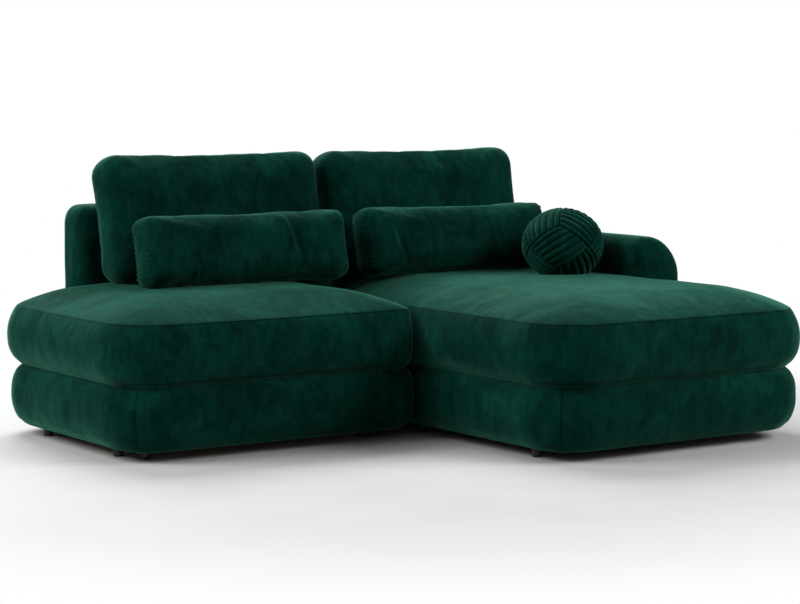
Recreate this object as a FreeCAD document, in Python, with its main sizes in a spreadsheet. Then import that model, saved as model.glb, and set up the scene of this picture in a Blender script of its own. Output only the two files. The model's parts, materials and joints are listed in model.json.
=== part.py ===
import FreeCAD, Part
import math
import os
import re

from FreeCAD import Placement, Rotation, Vector

# Corner sofa bed: a left seat and a longer chaise seat stand side by side on two upholstered bases.
# X runs along the back, -Y to the front, Z up. The origin is on the floor under the middle.
# Soft faces are measured from their sewn seams: a bulge is how far they swell past the seam.
SIZES = [
    ("left_width", 1030, "left seat, seam to seam"),
    ("chaise_width", 1010, "chaise seat, seam to seam"),
    ("seat_depth", 900, "left seat, front seam to rear seam"),
    ("chaise_reach", 695, "how far the chaise stands forward of the left seat"),
    ("corner_radius", 165, "outer plan corners of seats and bases"),
    ("join_radius", 40, "plan corners where the two seats meet"),
    ("join_gap", 4, "air between the two seats at their widest"),
    ("floor_gap", 30, "floor to the underside of the bases, the height of the feet"),
    ("base_height", 192, "upholstered base, bottom to top"),
    ("base_bulge", 19, "swell of the base sides"),
    ("base_shelf", 14, "how far the top edge of the base is drawn in"),
    ("base_tuck", 32, "how far the bottom edge of the base is drawn in"),
    ("tier_gap", 2, "air between a base and the cushion over it"),
    ("side_height", 186, "cushion side, bottom to the sewn top seam"),
    ("side_bulge", 28, "swell of the cushion sides"),
    ("side_tuck", 18, "how far the bottom edge of a cushion is drawn in"),
    ("crown_height", 65, "rise of a cushion top over its seam"),
    ("crown_flat", 240, "level middle of the left seat's top, front to rear"),
    ("pad_depth", 60, "padding between the seam plane and the timber"),
    ("corner_pad", 14, "least padding round the timber at a rounded corner"),
    ("rail_thickness", 25, "timber rails of bases and decks"),
    ("deck_height", 42, "timber frame inside a seat cushion"),
    ("foam_height", 138, "foam block on a seat deck"),
    ("soft_clearance", 0.3, "air between a soft piece and what it sits in or on"),
    ("notch_gap", 3, "air between a seat cushion and the back or the arm"),
    ("notch_wall", 20, "padding between a notch and the seat deck"),
    ("wire_radius", 2, "seat spring wire"),
    ("spring_swing", 22, "half the width of a seat spring between its bends"),
    ("spring_pitch", 110, "between two bends on one side of a seat spring, about"),
    ("left_springs", 6, "springs of the left seat"),
    ("chaise_springs", 6, "springs of the chaise in front of the arm"),
    ("chaise_rear_springs", 5, "springs of the chaise beside the arm"),
    ("back_inset", 214, "left seam to the left end of the back"),
    ("back_thickness", 150, "back, front to rear"),
    ("back_height", 502, "back, base top to its top"),
    ("back_round", 48, "rounding of the back's edges"),
    ("back_cap_round", 68, "rounding of the back's free top corner"),
    ("butt_round", 10, "rounding where upholstered pieces butt"),
    ("panel_margin", 55, "back or arm padding past the ends of its panel"),
    ("panel_drop", 45, "back or arm padding over the top of its panel"),
    ("panel_lift", 20, "underside of the base to the foot of a panel"),
    ("arm_width", 190, "arm, inner face to outer face"),
    ("arm_height", 386, "arm, base top to its top"),
    ("arm_length", 978, "arm, front to rear"),
    ("arm_roll", 145, "quarter round along the outer top edge of the arm"),
    ("arm_edge", 34, "rounding of the arm's other edges"),
    ("bolt_radius", 4, "panel bolts and joining bolts"),
    ("bolt_head_radius", 10, "their heads"),
    ("bolt_head_height", 6, "their heads"),
    ("bolt_clearance", 0.3, "hole over bolt, radial"),
    ("panel_bolt_height", 110, "underside of the base to the panel bolts"),
    ("panel_bolt_margin", 120, "panel end to its bolts"),
    ("join_bolt_height", 40, "underside of the base to the joining bolts"),
    ("join_bolt_front", 220, "left seat front seam to the first joining bolt"),
    ("join_bolt_pitch", 380, "between the joining bolts"),
    ("foot_radius", 17, "feet, at the top"),
    ("foot_taper", 3, "how much a foot narrows to the floor"),
    ("foot_margin", 140, "rail end to the middle of a foot"),
    ("board_thickness", 18, "front board and slats of the pull-out bed"),
    ("run_gap", 4, "air between the pull-out bed and the fixed base"),
    ("front_drop", 4, "front board below the top of the base"),
    ("bar_thickness", 22, "side and rear bars of the pull-out bed"),
    ("bar_height", 110, "side and rear bars of the pull-out bed"),
    ("bar_room", 52, "air between the bars of the pull-out bed and the back panel"),
    ("bar_lift", 55, "underside of the base to the bars"),
    ("slat_width", 52, "slats of the pull-out bed"),
    ("slat_count", 8, "slats of the pull-out bed"),
    ("runner_height", 45, "drawer runner, fixed channel"),
    ("runner_depth", 12, "drawer runner, fixed channel"),
    ("runner_wall", 1.6, "sheet of the drawer runner channels"),
    ("runner_clearance", 0.4, "air between nested runner channels"),
    ("runner_stand", 2, "inner runner past the mouth of the channels"),
    ("runner_lift", 88, "underside of the base to the runners"),
    ("runner_short", 16, "end of the drawer runners, in front of the end of the bars"),
    ("wheel_radius", 35, "castor wheels"),
    ("wheel_width", 22, "castor wheels"),
    ("wheel_ease", 0.8, "air under the castor wheels"),
    ("axle_radius", 5, "castor axles"),
    ("axle_clearance", 0.05, "wheel bore and fork hole over axle, radial"),
    ("fork_sheet", 3, "castor fork steel"),
    ("fork_play", 1, "air on each side of a castor wheel"),
    ("fork_reach", 24, "half the length of a castor fork"),
    ("castor_front", 45, "front board to the front castors"),
    ("castor_rear", 55, "rear castors to the end of the bars"),
    ("cushion_height", 411, "loose back cushion, bottom to top"),
    ("cushion_thickness", 184, "loose back cushion at its crown"),
    ("cushion_band", 92, "side band of a back cushion between its welts"),
    ("cushion_round", 66, "corners of a back cushion"),
    ("cushion_run", 122, "distance over which a back cushion's crown rises"),
    ("cushion_pull", 7, "how far the edges of a back cushion draw in"),
    ("cushion_swell", 8, "how far the band of a back cushion swells past its welts"),
    ("cushion_lean", 12, "degrees that the back cushions lean back"),
    ("cushion_gap", 4, "air between the two back cushions"),
    ("cushion_stand", 16, "air between a back cushion and the back"),
    ("bolster_inset", 24, "ends of a lumbar cushion, in from the ends of its back cushion"),
    ("bolster_height", 222, "lumbar cushion"),
    ("bolster_thickness", 166, "lumbar cushion"),
    ("bolster_round", 62, "edges of a lumbar cushion"),
    ("bolster_stand", 3, "air between a lumbar cushion and a back cushion"),
    ("bolster_swell", 4, "how far the sides of a lumbar cushion swell"),
    ("fill_margin", 34, "cover and wadding over the faces of a core"),
    ("core_margin", 68, "cover and wadding past the ends of a core"),
    ("ball_radius", 138, "ball cushion, level"),
    ("ball_squat", 15, "how much its half height is less"),
    ("ball_sink", 22, "how far the ball sinks into the seat"),
    ("ball_side", 5, "air between the ball and the arm"),
    ("ball_front", 228, "front of the arm to the middle of the ball"),
    ("ball_shell", 30, "cover and wadding over the ball's core"),
    ("pleat_depth", 6, "valleys between the pleats of the ball"),
    ("pleat_count", 8, "pleats side by side in one patch of the ball"),
    ("pleat_row", 96, "degrees that the pleats of one patch span"),
    ("cloth_thickness", 2, "dust cloth under the chaise"),
]

doc = FreeCAD.newDocument("CornerSofaBed")
sheet = doc.addObject("Spreadsheet::Sheet", "Sizes")
for row, (alias, number, note) in enumerate(SIZES, start=1):
    sheet.set(f"A{row}", str(number))
    sheet.setAlias(f"A{row}", alias)
    sheet.set(f"B{row}", note)
doc.recompute()

ALIASES = re.compile(r"\b(" + "|".join(entry[0] for entry in SIZES) + r")\b")
parts = []


def bound(text):
    """An expression with every size written as a cell of the sheet."""
    return ALIASES.sub(r"Sizes.\1", str(text))


def size(text):
    """The number that an expression gives now."""
    return float(sheet.evalExpression(bound(text)))


def bind(thing, **expressions):
    """Ties measures of an object to the sheet; base_x, base_y and base_z place it."""
    for name, text in expressions.items():
        thing.setExpression(name.replace("base_", "Placement.Base."), bound(text))
    return thing


def part(thing, label):
    """Marks a finished object as a sub-part with its own name."""
    thing.Label = label
    parts.append(thing)
    return thing


def box(x0, x1, y0, y1, z0, z1):
    block = doc.addObject("Part::Box", "Block")
    return bind(block, Length=f"({x1})-({x0})", Width=f"({y1})-({y0})", Height=f"({z1})-({z0})",
                base_x=x0, base_y=y0, base_z=z0)


AXIS_TURN = {"X": Rotation(Vector(0, 1, 0), 90), "Y": Rotation(Vector(1, 0, 0), -90), "Z": Rotation()}


def rod(axis, radius, length, x, y, z):
    """A cylinder that starts at a point and runs along +X, +Y or +Z."""
    cylinder = doc.addObject("Part::Cylinder", "Rod")
    cylinder.Placement = Placement(Vector(), AXIS_TURN[axis])
    return bind(cylinder, Radius=radius, Height=length, base_x=x, base_y=y, base_z=z)


def fuse(*pieces):
    fusion = doc.addObject("Part::MultiFuse", "Fusion")
    fusion.Shapes = list(pieces)
    return fusion


def cut(base, *tools):
    difference = doc.addObject("Part::Cut", "Cut")
    difference.Base = base
    difference.Tool = tools[0] if len(tools) == 1 else fuse(*tools)
    return difference


def common(base, tool):
    overlap = doc.addObject("Part::Common", "Common")
    overlap.Base = base
    overlap.Tool = tool
    return overlap


def group(*pieces):
    compound = doc.addObject("Part::Compound", "Group")
    compound.Links = list(pieces)
    return compound


def solid(shape, place=None):
    """A free-form solid at its own place."""
    feature = doc.addObject("Part::Feature", "Form")
    feature.Shape = shape
    feature.Placement = place or Placement()
    return feature


# Planes shared by the pieces
LEFT = "(-(left_width + chaise_width) / 2)"
RIGHT = "((left_width + chaise_width) / 2)"
JOIN = f"({LEFT} + left_width)"
REAR = "((seat_depth + chaise_reach) / 2)"
SEAT_FRONT = f"({REAR} - seat_depth)"
CHAISE_FRONT = f"({SEAT_FRONT} - chaise_reach)"
BASE_TOP = "(floor_gap + base_height)"
SEAT_BOTTOM = f"({BASE_TOP} + tier_gap)"
CROWN_TOP = f"({SEAT_BOTTOM} + side_height + crown_height)"
CROWN_RUN = "((seat_depth - crown_flat) / 2)"
LEFT_BASE_END = f"({JOIN} - base_bulge - join_gap)"
LEFT_SEAT_END = f"({JOIN} - side_bulge - join_gap)"
BACK_FRONT = f"({REAR} - back_thickness)"
BACK_LEFT = f"({LEFT} + back_inset)"
ARM_INNER = f"({RIGHT} - arm_width)"
ARM_FRONT = f"({REAR} - arm_length)"


# Upholstered outlines
def rounded_outline(x0, x1, y0, y1, radii, z):
    """A level closed outline of lines and quarter arcs, with its own radius at each corner."""
    corners = [(x0, y0, 180), (x1, y0, 270), (x1, y1, 0), (x0, y1, 90)]
    inward = [(1, 1), (-1, 1), (-1, -1), (1, -1)]
    arcs = []
    for (x, y, start), (sx, sy), radius in zip(corners, inward, radii):
        centre = Vector(x + sx * radius, y + sy * radius, z)
        spots = [math.radians(start + step * 45) for step in range(3)]
        arcs.append([centre + Vector(math.cos(a), math.sin(a), 0) * radius for a in spots])
    edges = []
    for index, arc in enumerate(arcs):
        edges.append(Part.Arc(*arc).toShape())
        edges.append(Part.LineSegment(arc[2], arcs[(index + 1) % 4][0]).toShape())
    return Part.Wire(edges)


def tier(x0, x1, y0, y1, radii, levels, plain_side=None):
    """A soft tier: outlines set in or out level by level; the plain side never swells past its plane."""
    wires = []
    for z, inset in levels:
        sides = {"left": inset, "right": inset, "front": inset, "rear": inset}
        if plain_side:
            sides[plain_side] = max(inset, 0)
        turned = [max(radius - 0.5 * inset, 0.6 * radius) for radius in radii]
        wires.append(rounded_outline(size(x0) + sides["left"], size(x1) - sides["right"],
                                     size(y0) + sides["front"], size(y1) - sides["rear"], turned, z))
    return Part.makeLoft(wires, True, True)


def base_levels(cover=0):
    """Heights and insets of a base side: tucked under, swollen, drawn in again at the top."""
    foot, tall = size("floor_gap"), size("base_height")
    tuck, bulge, shelf = size("base_tuck"), size("base_bulge"), size("base_shelf")
    steps = [(0.0, tuck), (0.08, 0.3 * tuck), (0.27, -0.6 * bulge), (0.58, -bulge), (0.84, -0.55 * bulge),
             (0.96, 0.3 * shelf), (1.0, shelf)]
    return [(foot + share * tall, inset + cover) for share, inset in steps]


def seat_levels(cover=0):
    """Heights and insets of a seat cushion: a swollen side up to the seam, then the crown."""
    foot, side, crown = size(SEAT_BOTTOM), size("side_height"), size("crown_height")
    tuck, bulge, run = size("side_tuck"), size("side_bulge"), size(CROWN_RUN)
    steps = [(0.0, tuck), (0.07, 0.0), (0.21, -0.66 * bulge), (0.49, -bulge), (0.8, -0.66 * bulge),
             (1.0, 0.0)]
    levels = [(size(BASE_TOP), tuck)] if cover else []
    levels += [(foot + share * side, inset) for share, inset in steps]
    rise = [(0.36, 0.11), (0.66, 0.3), (0.88, 0.6), (1.0, 1.0)]
    levels += [(foot + side + up * crown, along * run) for up, along in rise]
    return [(z, inset + cover) for z, inset in levels]


WIDE, NARROW = size("corner_radius"), size("join_radius")


def left_tier(end, levels):
    """A tier of the left seat; end is its plain side, beside the chaise."""
    return solid(tier(LEFT, end, SEAT_FRONT, REAR, [WIDE, NARROW, NARROW, WIDE], levels, "right"))


def chaise_tier(levels):
    """A tier of the chaise seat."""
    return solid(tier(JOIN, RIGHT, CHAISE_FRONT, REAR, [WIDE, WIDE, WIDE, NARROW], levels))


# Each tier as it is sewn, and the smaller form that its timber keeps inside
COVER = size("corner_pad")
left_base, left_base_core = (left_tier(LEFT_BASE_END, base_levels(cover)) for cover in (0, COVER))
chaise_base, chaise_base_core = (chaise_tier(base_levels(cover)) for cover in (0, COVER))
left_cushion, left_seat_core = (left_tier(LEFT_SEAT_END, seat_levels(cover)) for cover in (0, COVER))
chaise_cushion, chaise_seat_core = (chaise_tier(seat_levels(cover)) for cover in (0, COVER))


def trimmed(core, *spans):
    """A timber block that is rounded off where it would reach past the core of its tier."""
    return common(box(*spans), core)


# Padded strips round the bases, mitred along the sewn corner seams
STRIP_TURN = {"front": 0, "left": -90, "rear": 180, "right": 90}


def strip(base, side, outer, start, end, start_mitre, end_mitre, gap="0"):
    """The padding along one side of a base; outer, start and end are planes of the seams."""
    sign = -1 if side in ("left", "rear") else 1
    low, high = (start, end) if sign > 0 else (f"-({end})", f"-({start})")
    low_mitre, high_mitre = (start_mitre, end_mitre) if sign > 0 else (end_mitre, start_mitre)
    swell = "base_bulge"
    wedge = doc.addObject("Part::Wedge", "Mitre")
    wedge.Placement = Placement(Vector(), Rotation(Vector(0, 0, 1), STRIP_TURN[side]))
    bind(wedge, Ymin=f"-{swell}", Ymax="pad_depth", Zmin="0", Zmax=BASE_TOP, Z2min="0", Z2max=BASE_TOP,
         Xmin=f"({low}) - {swell} * {low_mitre} + {gap}", Xmax=f"({high}) + {swell} * {high_mitre} - {gap}",
         X2min=f"({low}) + pad_depth * {low_mitre} + {gap}",
         X2max=f"({high}) - pad_depth * {high_mitre} - {gap}")
    bind(wedge, **{"base_y" if side in ("front", "rear") else "base_x": outer})
    return common(base, wedge)


MITRE_GAP = "soft_clearance"
part(strip(left_base, "front", SEAT_FRONT, LEFT, LEFT_BASE_END, 1, 0, MITRE_GAP), "pullout_front_pad")
part(strip(left_base, "left", LEFT, SEAT_FRONT, REAR, 1, 1, MITRE_GAP), "left_base_side_pad")
part(strip(left_base, "rear", REAR, LEFT, LEFT_BASE_END, 1, 0, MITRE_GAP), "left_base_rear_pad")
part(strip(chaise_base, "front", CHAISE_FRONT, JOIN, RIGHT, 1, 1, MITRE_GAP), "chaise_base_front_pad")
part(strip(chaise_base, "right", RIGHT, CHAISE_FRONT, REAR, 1, 1, MITRE_GAP), "chaise_base_right_pad")
part(strip(chaise_base, "rear", REAR, JOIN, RIGHT, 1, 1, MITRE_GAP), "chaise_base_rear_pad")
chaise_left_strip = strip(chaise_base, "left", JOIN, CHAISE_FRONT, REAR, 1, 1, MITRE_GAP)

# Timber of the left base: two side rails and a rear rail, open at the front for the pull-out bed
LEFT_RAIL = (f"({LEFT} + pad_depth)", f"({LEFT} + pad_depth + rail_thickness)")
LEFT_INNER = f"({LEFT_BASE_END} - pad_depth)"
INNER_RAIL = (f"({LEFT_INNER} - rail_thickness)", LEFT_INNER)
REAR_RAIL = (f"({REAR} - pad_depth - rail_thickness)", f"({REAR} - pad_depth)")
BOARD = (f"({SEAT_FRONT} + pad_depth)", f"({SEAT_FRONT} + pad_depth + board_thickness)")
RAIL_FRONT = f"({BOARD[1]} + run_gap)"
RAIL_Z = ("floor_gap", BASE_TOP)
CHAISE_LEFT_RAIL = (f"({JOIN} + pad_depth)", f"({JOIN} + pad_depth + rail_thickness)")
CHAISE_RIGHT_RAIL = (f"({RIGHT} - pad_depth - rail_thickness)", f"({RIGHT} - pad_depth)")
CHAISE_FRONT_RAIL = (f"({CHAISE_FRONT} + pad_depth)", f"({CHAISE_FRONT} + pad_depth + rail_thickness)")

BOLT_HOLE = "bolt_radius + bolt_clearance"
JOIN_BOLT_Z = "floor_gap + join_bolt_height"
JOIN_BOLT_Y = [f"{SEAT_FRONT} + join_bolt_front + {index} * join_bolt_pitch" for index in range(2)]
JOIN_SPAN = (INNER_RAIL[0], CHAISE_LEFT_RAIL[1])


def bolt(axis, start, end, x, y, z):
    """A dome-head bolt: its shank fills the hole from start to end, the head stands before the start."""
    spot = {"X": x, "Y": y, "Z": z}
    seat = dict(spot, **{axis: start})
    head = dict(spot, **{axis: f"{start} - bolt_head_height"})
    shank = rod(axis, "bolt_radius", f"{end} - {start}", seat["X"], seat["Y"], seat["Z"])
    return fuse(shank, rod(axis, "bolt_head_radius", "bolt_head_height", head["X"], head["Y"], head["Z"]))


def join_holes():
    return [rod("X", BOLT_HOLE, f"{JOIN_SPAN[1]} - {JOIN_SPAN[0]}", JOIN_SPAN[0], y, JOIN_BOLT_Z)
            for y in JOIN_BOLT_Y]


PANEL_BOLT_Z = "floor_gap + panel_bolt_height"
BACK_PANEL_Y = (f"({REAR_RAIL[0]} - rail_thickness)", REAR_RAIL[0])
BACK_PANELS = {"left": (f"({BACK_LEFT} + panel_margin)", f"({INNER_RAIL[0]} - run_gap)"),
               "right": (f"({CHAISE_LEFT_RAIL[1]} + run_gap)", f"({ARM_INNER} - panel_margin)")}
ARM_PANEL_X = (f"({CHAISE_RIGHT_RAIL[0]} - rail_thickness)", CHAISE_RIGHT_RAIL[0])
ARM_PANEL_Y = (f"({ARM_FRONT} + panel_margin)", f"({BACK_PANEL_Y[0]} - panel_margin)")


def bolt_pair(span):
    return [f"{span[0]} + panel_bolt_margin", f"{span[1]} - panel_bolt_margin"]


def back_holes(name):
    return [rod("Y", BOLT_HOLE, f"{REAR_RAIL[1]} - {BACK_PANEL_Y[0]}", x, BACK_PANEL_Y[0], PANEL_BOLT_Z)
            for x in bolt_pair(BACK_PANELS[name])]


def arm_holes():
    return [rod("X", BOLT_HOLE, f"{CHAISE_RIGHT_RAIL[1]} - {ARM_PANEL_X[0]}", ARM_PANEL_X[0], y, PANEL_BOLT_Z)
            for y in bolt_pair(ARM_PANEL_Y)]


part(trimmed(left_base_core, *LEFT_RAIL, RAIL_FRONT, REAR_RAIL[1], *RAIL_Z), "left_base_outer_rail")
part(cut(box(*INNER_RAIL, RAIL_FRONT, REAR_RAIL[1], *RAIL_Z), *join_holes()), "left_base_inner_rail")
left_rear = trimmed(left_base_core, LEFT_RAIL[1], INNER_RAIL[0], *REAR_RAIL, *RAIL_Z)
part(cut(left_rear, *back_holes("left")), "left_base_rear_rail")

# Timber of the chaise base: a full ring with two cross rails
part(trimmed(chaise_base_core, CHAISE_LEFT_RAIL[0], CHAISE_RIGHT_RAIL[1], *CHAISE_FRONT_RAIL, *RAIL_Z),
     "chaise_base_front_rail")
chaise_left = trimmed(chaise_base_core, *CHAISE_LEFT_RAIL, CHAISE_FRONT_RAIL[1], REAR_RAIL[1], *RAIL_Z)
part(cut(chaise_left, *join_holes()), "chaise_base_left_rail")
chaise_right = trimmed(chaise_base_core, *CHAISE_RIGHT_RAIL, CHAISE_FRONT_RAIL[1], REAR_RAIL[1], *RAIL_Z)
part(cut(chaise_right, *arm_holes()), "chaise_base_right_rail")
chaise_rear = trimmed(chaise_base_core, CHAISE_LEFT_RAIL[1], CHAISE_RIGHT_RAIL[0], *REAR_RAIL, *RAIL_Z)
part(cut(chaise_rear, *back_holes("right")), "chaise_base_rear_rail")
part(cut(chaise_left_strip, *join_holes()), "chaise_base_left_pad")
inner_slab = box(LEFT_INNER, LEFT_BASE_END, RAIL_FRONT, REAR_RAIL[1], "floor_gap", BASE_TOP)
part(cut(common(left_base, inner_slab), *join_holes()), "left_base_inner_pad")
part(group(*[bolt("X", *JOIN_SPAN, "0", y, JOIN_BOLT_Z) for y in JOIN_BOLT_Y]), "joining_bolts")

# Seat decks, springs, foam and covers
DECK_Z = (BASE_TOP, f"({SEAT_BOTTOM} + deck_height)")
FOAM_Z = (f"({DECK_Z[1]} + soft_clearance)", f"({DECK_Z[1]} + soft_clearance + foam_height)")
CAVITY_TOP = f"({FOAM_Z[1]} + soft_clearance)"
DECK_REAR = f"({BACK_FRONT} - notch_gap - notch_wall)"
STEP_REAR = f"({ARM_FRONT} - notch_gap - notch_wall)"
LEFT_DECK_X = (LEFT_RAIL[0], INNER_RAIL[1])
CHAISE_DECK_X = (CHAISE_LEFT_RAIL[0], f"({ARM_INNER} - notch_gap - notch_wall)")
SPRING_Z = f"{DECK_Z[1]} - 2 * wire_radius"


def spring(x, y0, y1):
    """A zigzag seat spring lying between two cross rails: straight bars joined by half turns."""
    radius, swing, z = size("wire_radius"), size("spring_swing"), size(SPRING_Z)
    middle, start, end = size(x), size(y0), size(y1)
    turns = 2 * round((end - start) / size("spring_pitch"))
    step = (end - start) / (turns + 1)
    bend = step / 2
    edges = []
    here = Vector(middle, start, z)
    first = Vector(middle, start + bend, z)
    edges.append(Part.LineSegment(here, first).toShape())
    here = first
    for turn in range(turns):
        side = 1 if turn % 2 == 0 else -1
        out = Vector(middle + side * swing, here.y, z)
        crest = Vector(middle + side * (swing + bend), here.y + bend, z)
        back = Vector(middle + side * swing, here.y + step, z)
        centre = Vector(middle, here.y + step, z)
        edges += [Part.LineSegment(here, out).toShape(), Part.Arc(out, crest, back).toShape(),
                  Part.LineSegment(back, centre).toShape()]
        here = centre
    edges.append(Part.LineSegment(here, Vector(middle, end, z)).toShape())
    path = Part.Wire(edges)
    ring = Part.Wire(Part.makeCircle(radius, Vector(middle, start, z), Vector(0, 1, 0)))
    return path.makePipeShell([ring], True, False, 1)


def spring_row(x_span, y0, y1, count):
    """Springs side by side between the side rails of a deck."""
    number = round(size(count))
    first = f"({x_span[0]} + rail_thickness)"
    pitch = f"(({x_span[1]} - rail_thickness - {first}) / {number})"
    return [solid(spring(f"{first} + {pitch} * {index + 0.5}", y0, y1)) for index in range(number)]


def side_rail(core, edge, sign, y0, y1):
    """A side rail of a deck, to the right (1) or to the left (-1) of a plane."""
    ends = (edge, f"{edge} + rail_thickness") if sign > 0 else (f"{edge} - rail_thickness", edge)
    return trimmed(core, *ends, y0, y1, *DECK_Z)


def cross_rail(core, x_span, y, sign):
    """A cross rail of a deck between the side rails, in front of (-1) or behind (1) a plane."""
    ends = (y, f"{y} + rail_thickness") if sign > 0 else (f"{y} - rail_thickness", y)
    return trimmed(core, f"{x_span[0]} + rail_thickness", f"{x_span[1]} - rail_thickness", *ends, *DECK_Z)


def foam(core, x_span, y0, y1):
    """A foam block that lies on a deck with air all round."""
    slack = "soft_clearance"
    return trimmed(core, f"{x_span[0]} + {slack}", f"{x_span[1]} - {slack}", f"{y0} + {slack}",
                   f"{y1} - {slack}", *FOAM_Z)


DECK_FRONT = BOARD[0]
part(group(side_rail(left_seat_core, LEFT_DECK_X[0], 1, DECK_FRONT, DECK_REAR),
           side_rail(left_seat_core, LEFT_DECK_X[1], -1, DECK_FRONT, DECK_REAR)), "left_deck_side_rails")
part(group(cross_rail(left_seat_core, LEFT_DECK_X, DECK_FRONT, 1),
           cross_rail(left_seat_core, LEFT_DECK_X, DECK_REAR, -1)), "left_deck_cross_rails")
part(group(*spring_row(LEFT_DECK_X, f"{DECK_FRONT} + rail_thickness", f"{DECK_REAR} - rail_thickness",
                       "left_springs")), "left_seat_springs")
part(foam(left_seat_core, LEFT_DECK_X, DECK_FRONT, DECK_REAR), "left_seat_foam")

CHAISE_DECK_FRONT = CHAISE_FRONT_RAIL[0]
STEP_X = (CHAISE_DECK_X[0], CHAISE_RIGHT_RAIL[1])
part(group(side_rail(chaise_seat_core, CHAISE_DECK_X[0], 1, CHAISE_DECK_FRONT, DECK_REAR),
           side_rail(chaise_seat_core, STEP_X[1], -1, CHAISE_DECK_FRONT, STEP_REAR),
           side_rail(chaise_seat_core, CHAISE_DECK_X[1], -1, STEP_REAR, DECK_REAR)), "chaise_deck_side_rails")
part(group(cross_rail(chaise_seat_core, STEP_X, CHAISE_DECK_FRONT, 1),
           cross_rail(chaise_seat_core, STEP_X, STEP_REAR, -1),
           cross_rail(chaise_seat_core, CHAISE_DECK_X, DECK_REAR, -1)), "chaise_deck_cross_rails")
part(group(*spring_row(STEP_X, f"{CHAISE_DECK_FRONT} + rail_thickness", f"{STEP_REAR} - rail_thickness",
                       "chaise_springs"),
           *spring_row(CHAISE_DECK_X, STEP_REAR, f"{DECK_REAR} - rail_thickness", "chaise_rear_springs")),
     "chaise_seat_springs")
part(fuse(foam(chaise_seat_core, CHAISE_DECK_X, CHAISE_DECK_FRONT, DECK_REAR),
          foam(chaise_seat_core, STEP_X, CHAISE_DECK_FRONT, STEP_REAR)), "chaise_seat_foam")
CLOTH_Z = ("floor_gap", "(floor_gap + cloth_thickness)")
part(group(*[box(CHAISE_LEFT_RAIL[1], end, f"{y} - rail_thickness", y, CLOTH_Z[1], BASE_TOP)
             for end, y in ((CHAISE_RIGHT_RAIL[0], STEP_REAR), (ARM_PANEL_X[0], DECK_REAR))]),
     "chaise_base_cross_rails")
part(box(CHAISE_LEFT_RAIL[1], CHAISE_RIGHT_RAIL[0], CHAISE_FRONT_RAIL[1], REAR_RAIL[0], *CLOTH_Z),
     "chaise_dust_cloth")

ABOVE = f"({CROWN_TOP} + crown_height)"
back_notch = box(f"{BACK_LEFT} - notch_gap", f"{RIGHT} + {CROWN_RUN}", f"{BACK_FRONT} - notch_gap",
                 f"{REAR} + {CROWN_RUN}", "0", ABOVE)
arm_notch = box(f"{ARM_INNER} - notch_gap", f"{RIGHT} + {CROWN_RUN}", f"{ARM_FRONT} - notch_gap",
                f"{REAR} + {CROWN_RUN}", "0", ABOVE)
left_cavity = trimmed(left_seat_core, *LEFT_DECK_X, DECK_FRONT, DECK_REAR, "0", CAVITY_TOP)
chaise_cavities = [trimmed(chaise_seat_core, *CHAISE_DECK_X, CHAISE_DECK_FRONT, DECK_REAR, "0", CAVITY_TOP),
                   trimmed(chaise_seat_core, *STEP_X, CHAISE_DECK_FRONT, STEP_REAR, "0", CAVITY_TOP)]
part(cut(left_cushion, back_notch, left_cavity), "left_seat_cover")

# Ball cushion: a squat ball that sinks a little into the chaise seat beside the arm
BALL_X = f"({ARM_INNER} - ball_side - ball_radius)"
BALL_Y = f"({ARM_FRONT} + ball_front)"
BALL_HALF = "(ball_radius - ball_squat)"
BALL_Z = f"({CROWN_TOP} - ball_sink + {BALL_HALF})"


def ball(level, upright):
    ellipsoid = doc.addObject("Part::Ellipsoid", "Ball")
    return bind(ellipsoid, Radius1=upright, Radius2=level, Radius3=level,
                base_x=BALL_X, base_y=BALL_Y, base_z=BALL_Z)


def ribbed_ball(radius, axis_turn):
    """A ball turned about one axis, with a row of ribs on both sides of its equator."""
    low, count = radius - size("pleat_depth"), round(size("pleat_count"))
    row = size("pleat_row")
    step = row / count

    def spot(angle, distance):
        return Vector(math.sin(math.radians(angle)), math.cos(math.radians(angle)), 0) * distance

    def arc(start, end, crest):
        return Part.Arc(spot(start, low), spot((start + end) / 2, crest), spot(end, low)).toShape()

    edges = [arc(-90, -row / 2, low)]
    for index in range(count):
        edges.append(arc(index * step - row / 2, (index + 1) * step - row / 2, radius))
    edges += [arc(row / 2, 90, low), Part.LineSegment(spot(90, low), spot(-90, low)).toShape()]
    turned = Part.Face(Part.Wire(edges)).revolve(Vector(), Vector(1, 0, 0), 360)
    turned.Placement = Placement(Vector(), axis_turn)
    return turned


def pyramid(axis, reach):
    """The part of space that one face of a cube sees from its middle."""
    side, other = Vector(axis.y, axis.z, axis.x), Vector(axis.z, axis.x, axis.y)
    ring = [(axis + side * a + other * b) * reach for a, b in ((-1, -1), (1, -1), (1, 1), (-1, 1))]
    faces = [Part.Face(Part.makePolygon(ring + ring[:1]))]
    for index in range(4):
        faces.append(Part.Face(Part.makePolygon([Vector(), ring[index], ring[(index + 1) % 4], Vector()])))
    sector = Part.Solid(Part.Shell(faces))
    if sector.Volume < 0:
        sector.reverse()
    return sector


def pleated_ball():
    """Six patches of parallel pleats, each square to its neighbours, on a hollow squat ball."""
    radius = size("ball_radius")
    facing = [(Rotation(), Vector(0, 0, 1)), (Rotation(Vector(0, 0, 1), 90), Vector(1, 0, 0)),
              (Rotation(Vector(0, 1, 0), -90), Vector(0, 1, 0))]
    patches = []
    for turn, axis in facing:
        ribs = ribbed_ball(radius, turn)
        patches += [ribs.common(pyramid(axis * sign, 2 * radius)).Solids[0] for sign in (1, -1)]
    whole = patches[0].multiFuse(patches[1:]).Solids[0]
    squat = FreeCAD.Matrix()
    squat.scale(1, 1, size(BALL_HALF) / radius)
    return whole.cut(Part.makeSphere(size("ball_radius - ball_shell"))).transformGeometry(squat)


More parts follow.
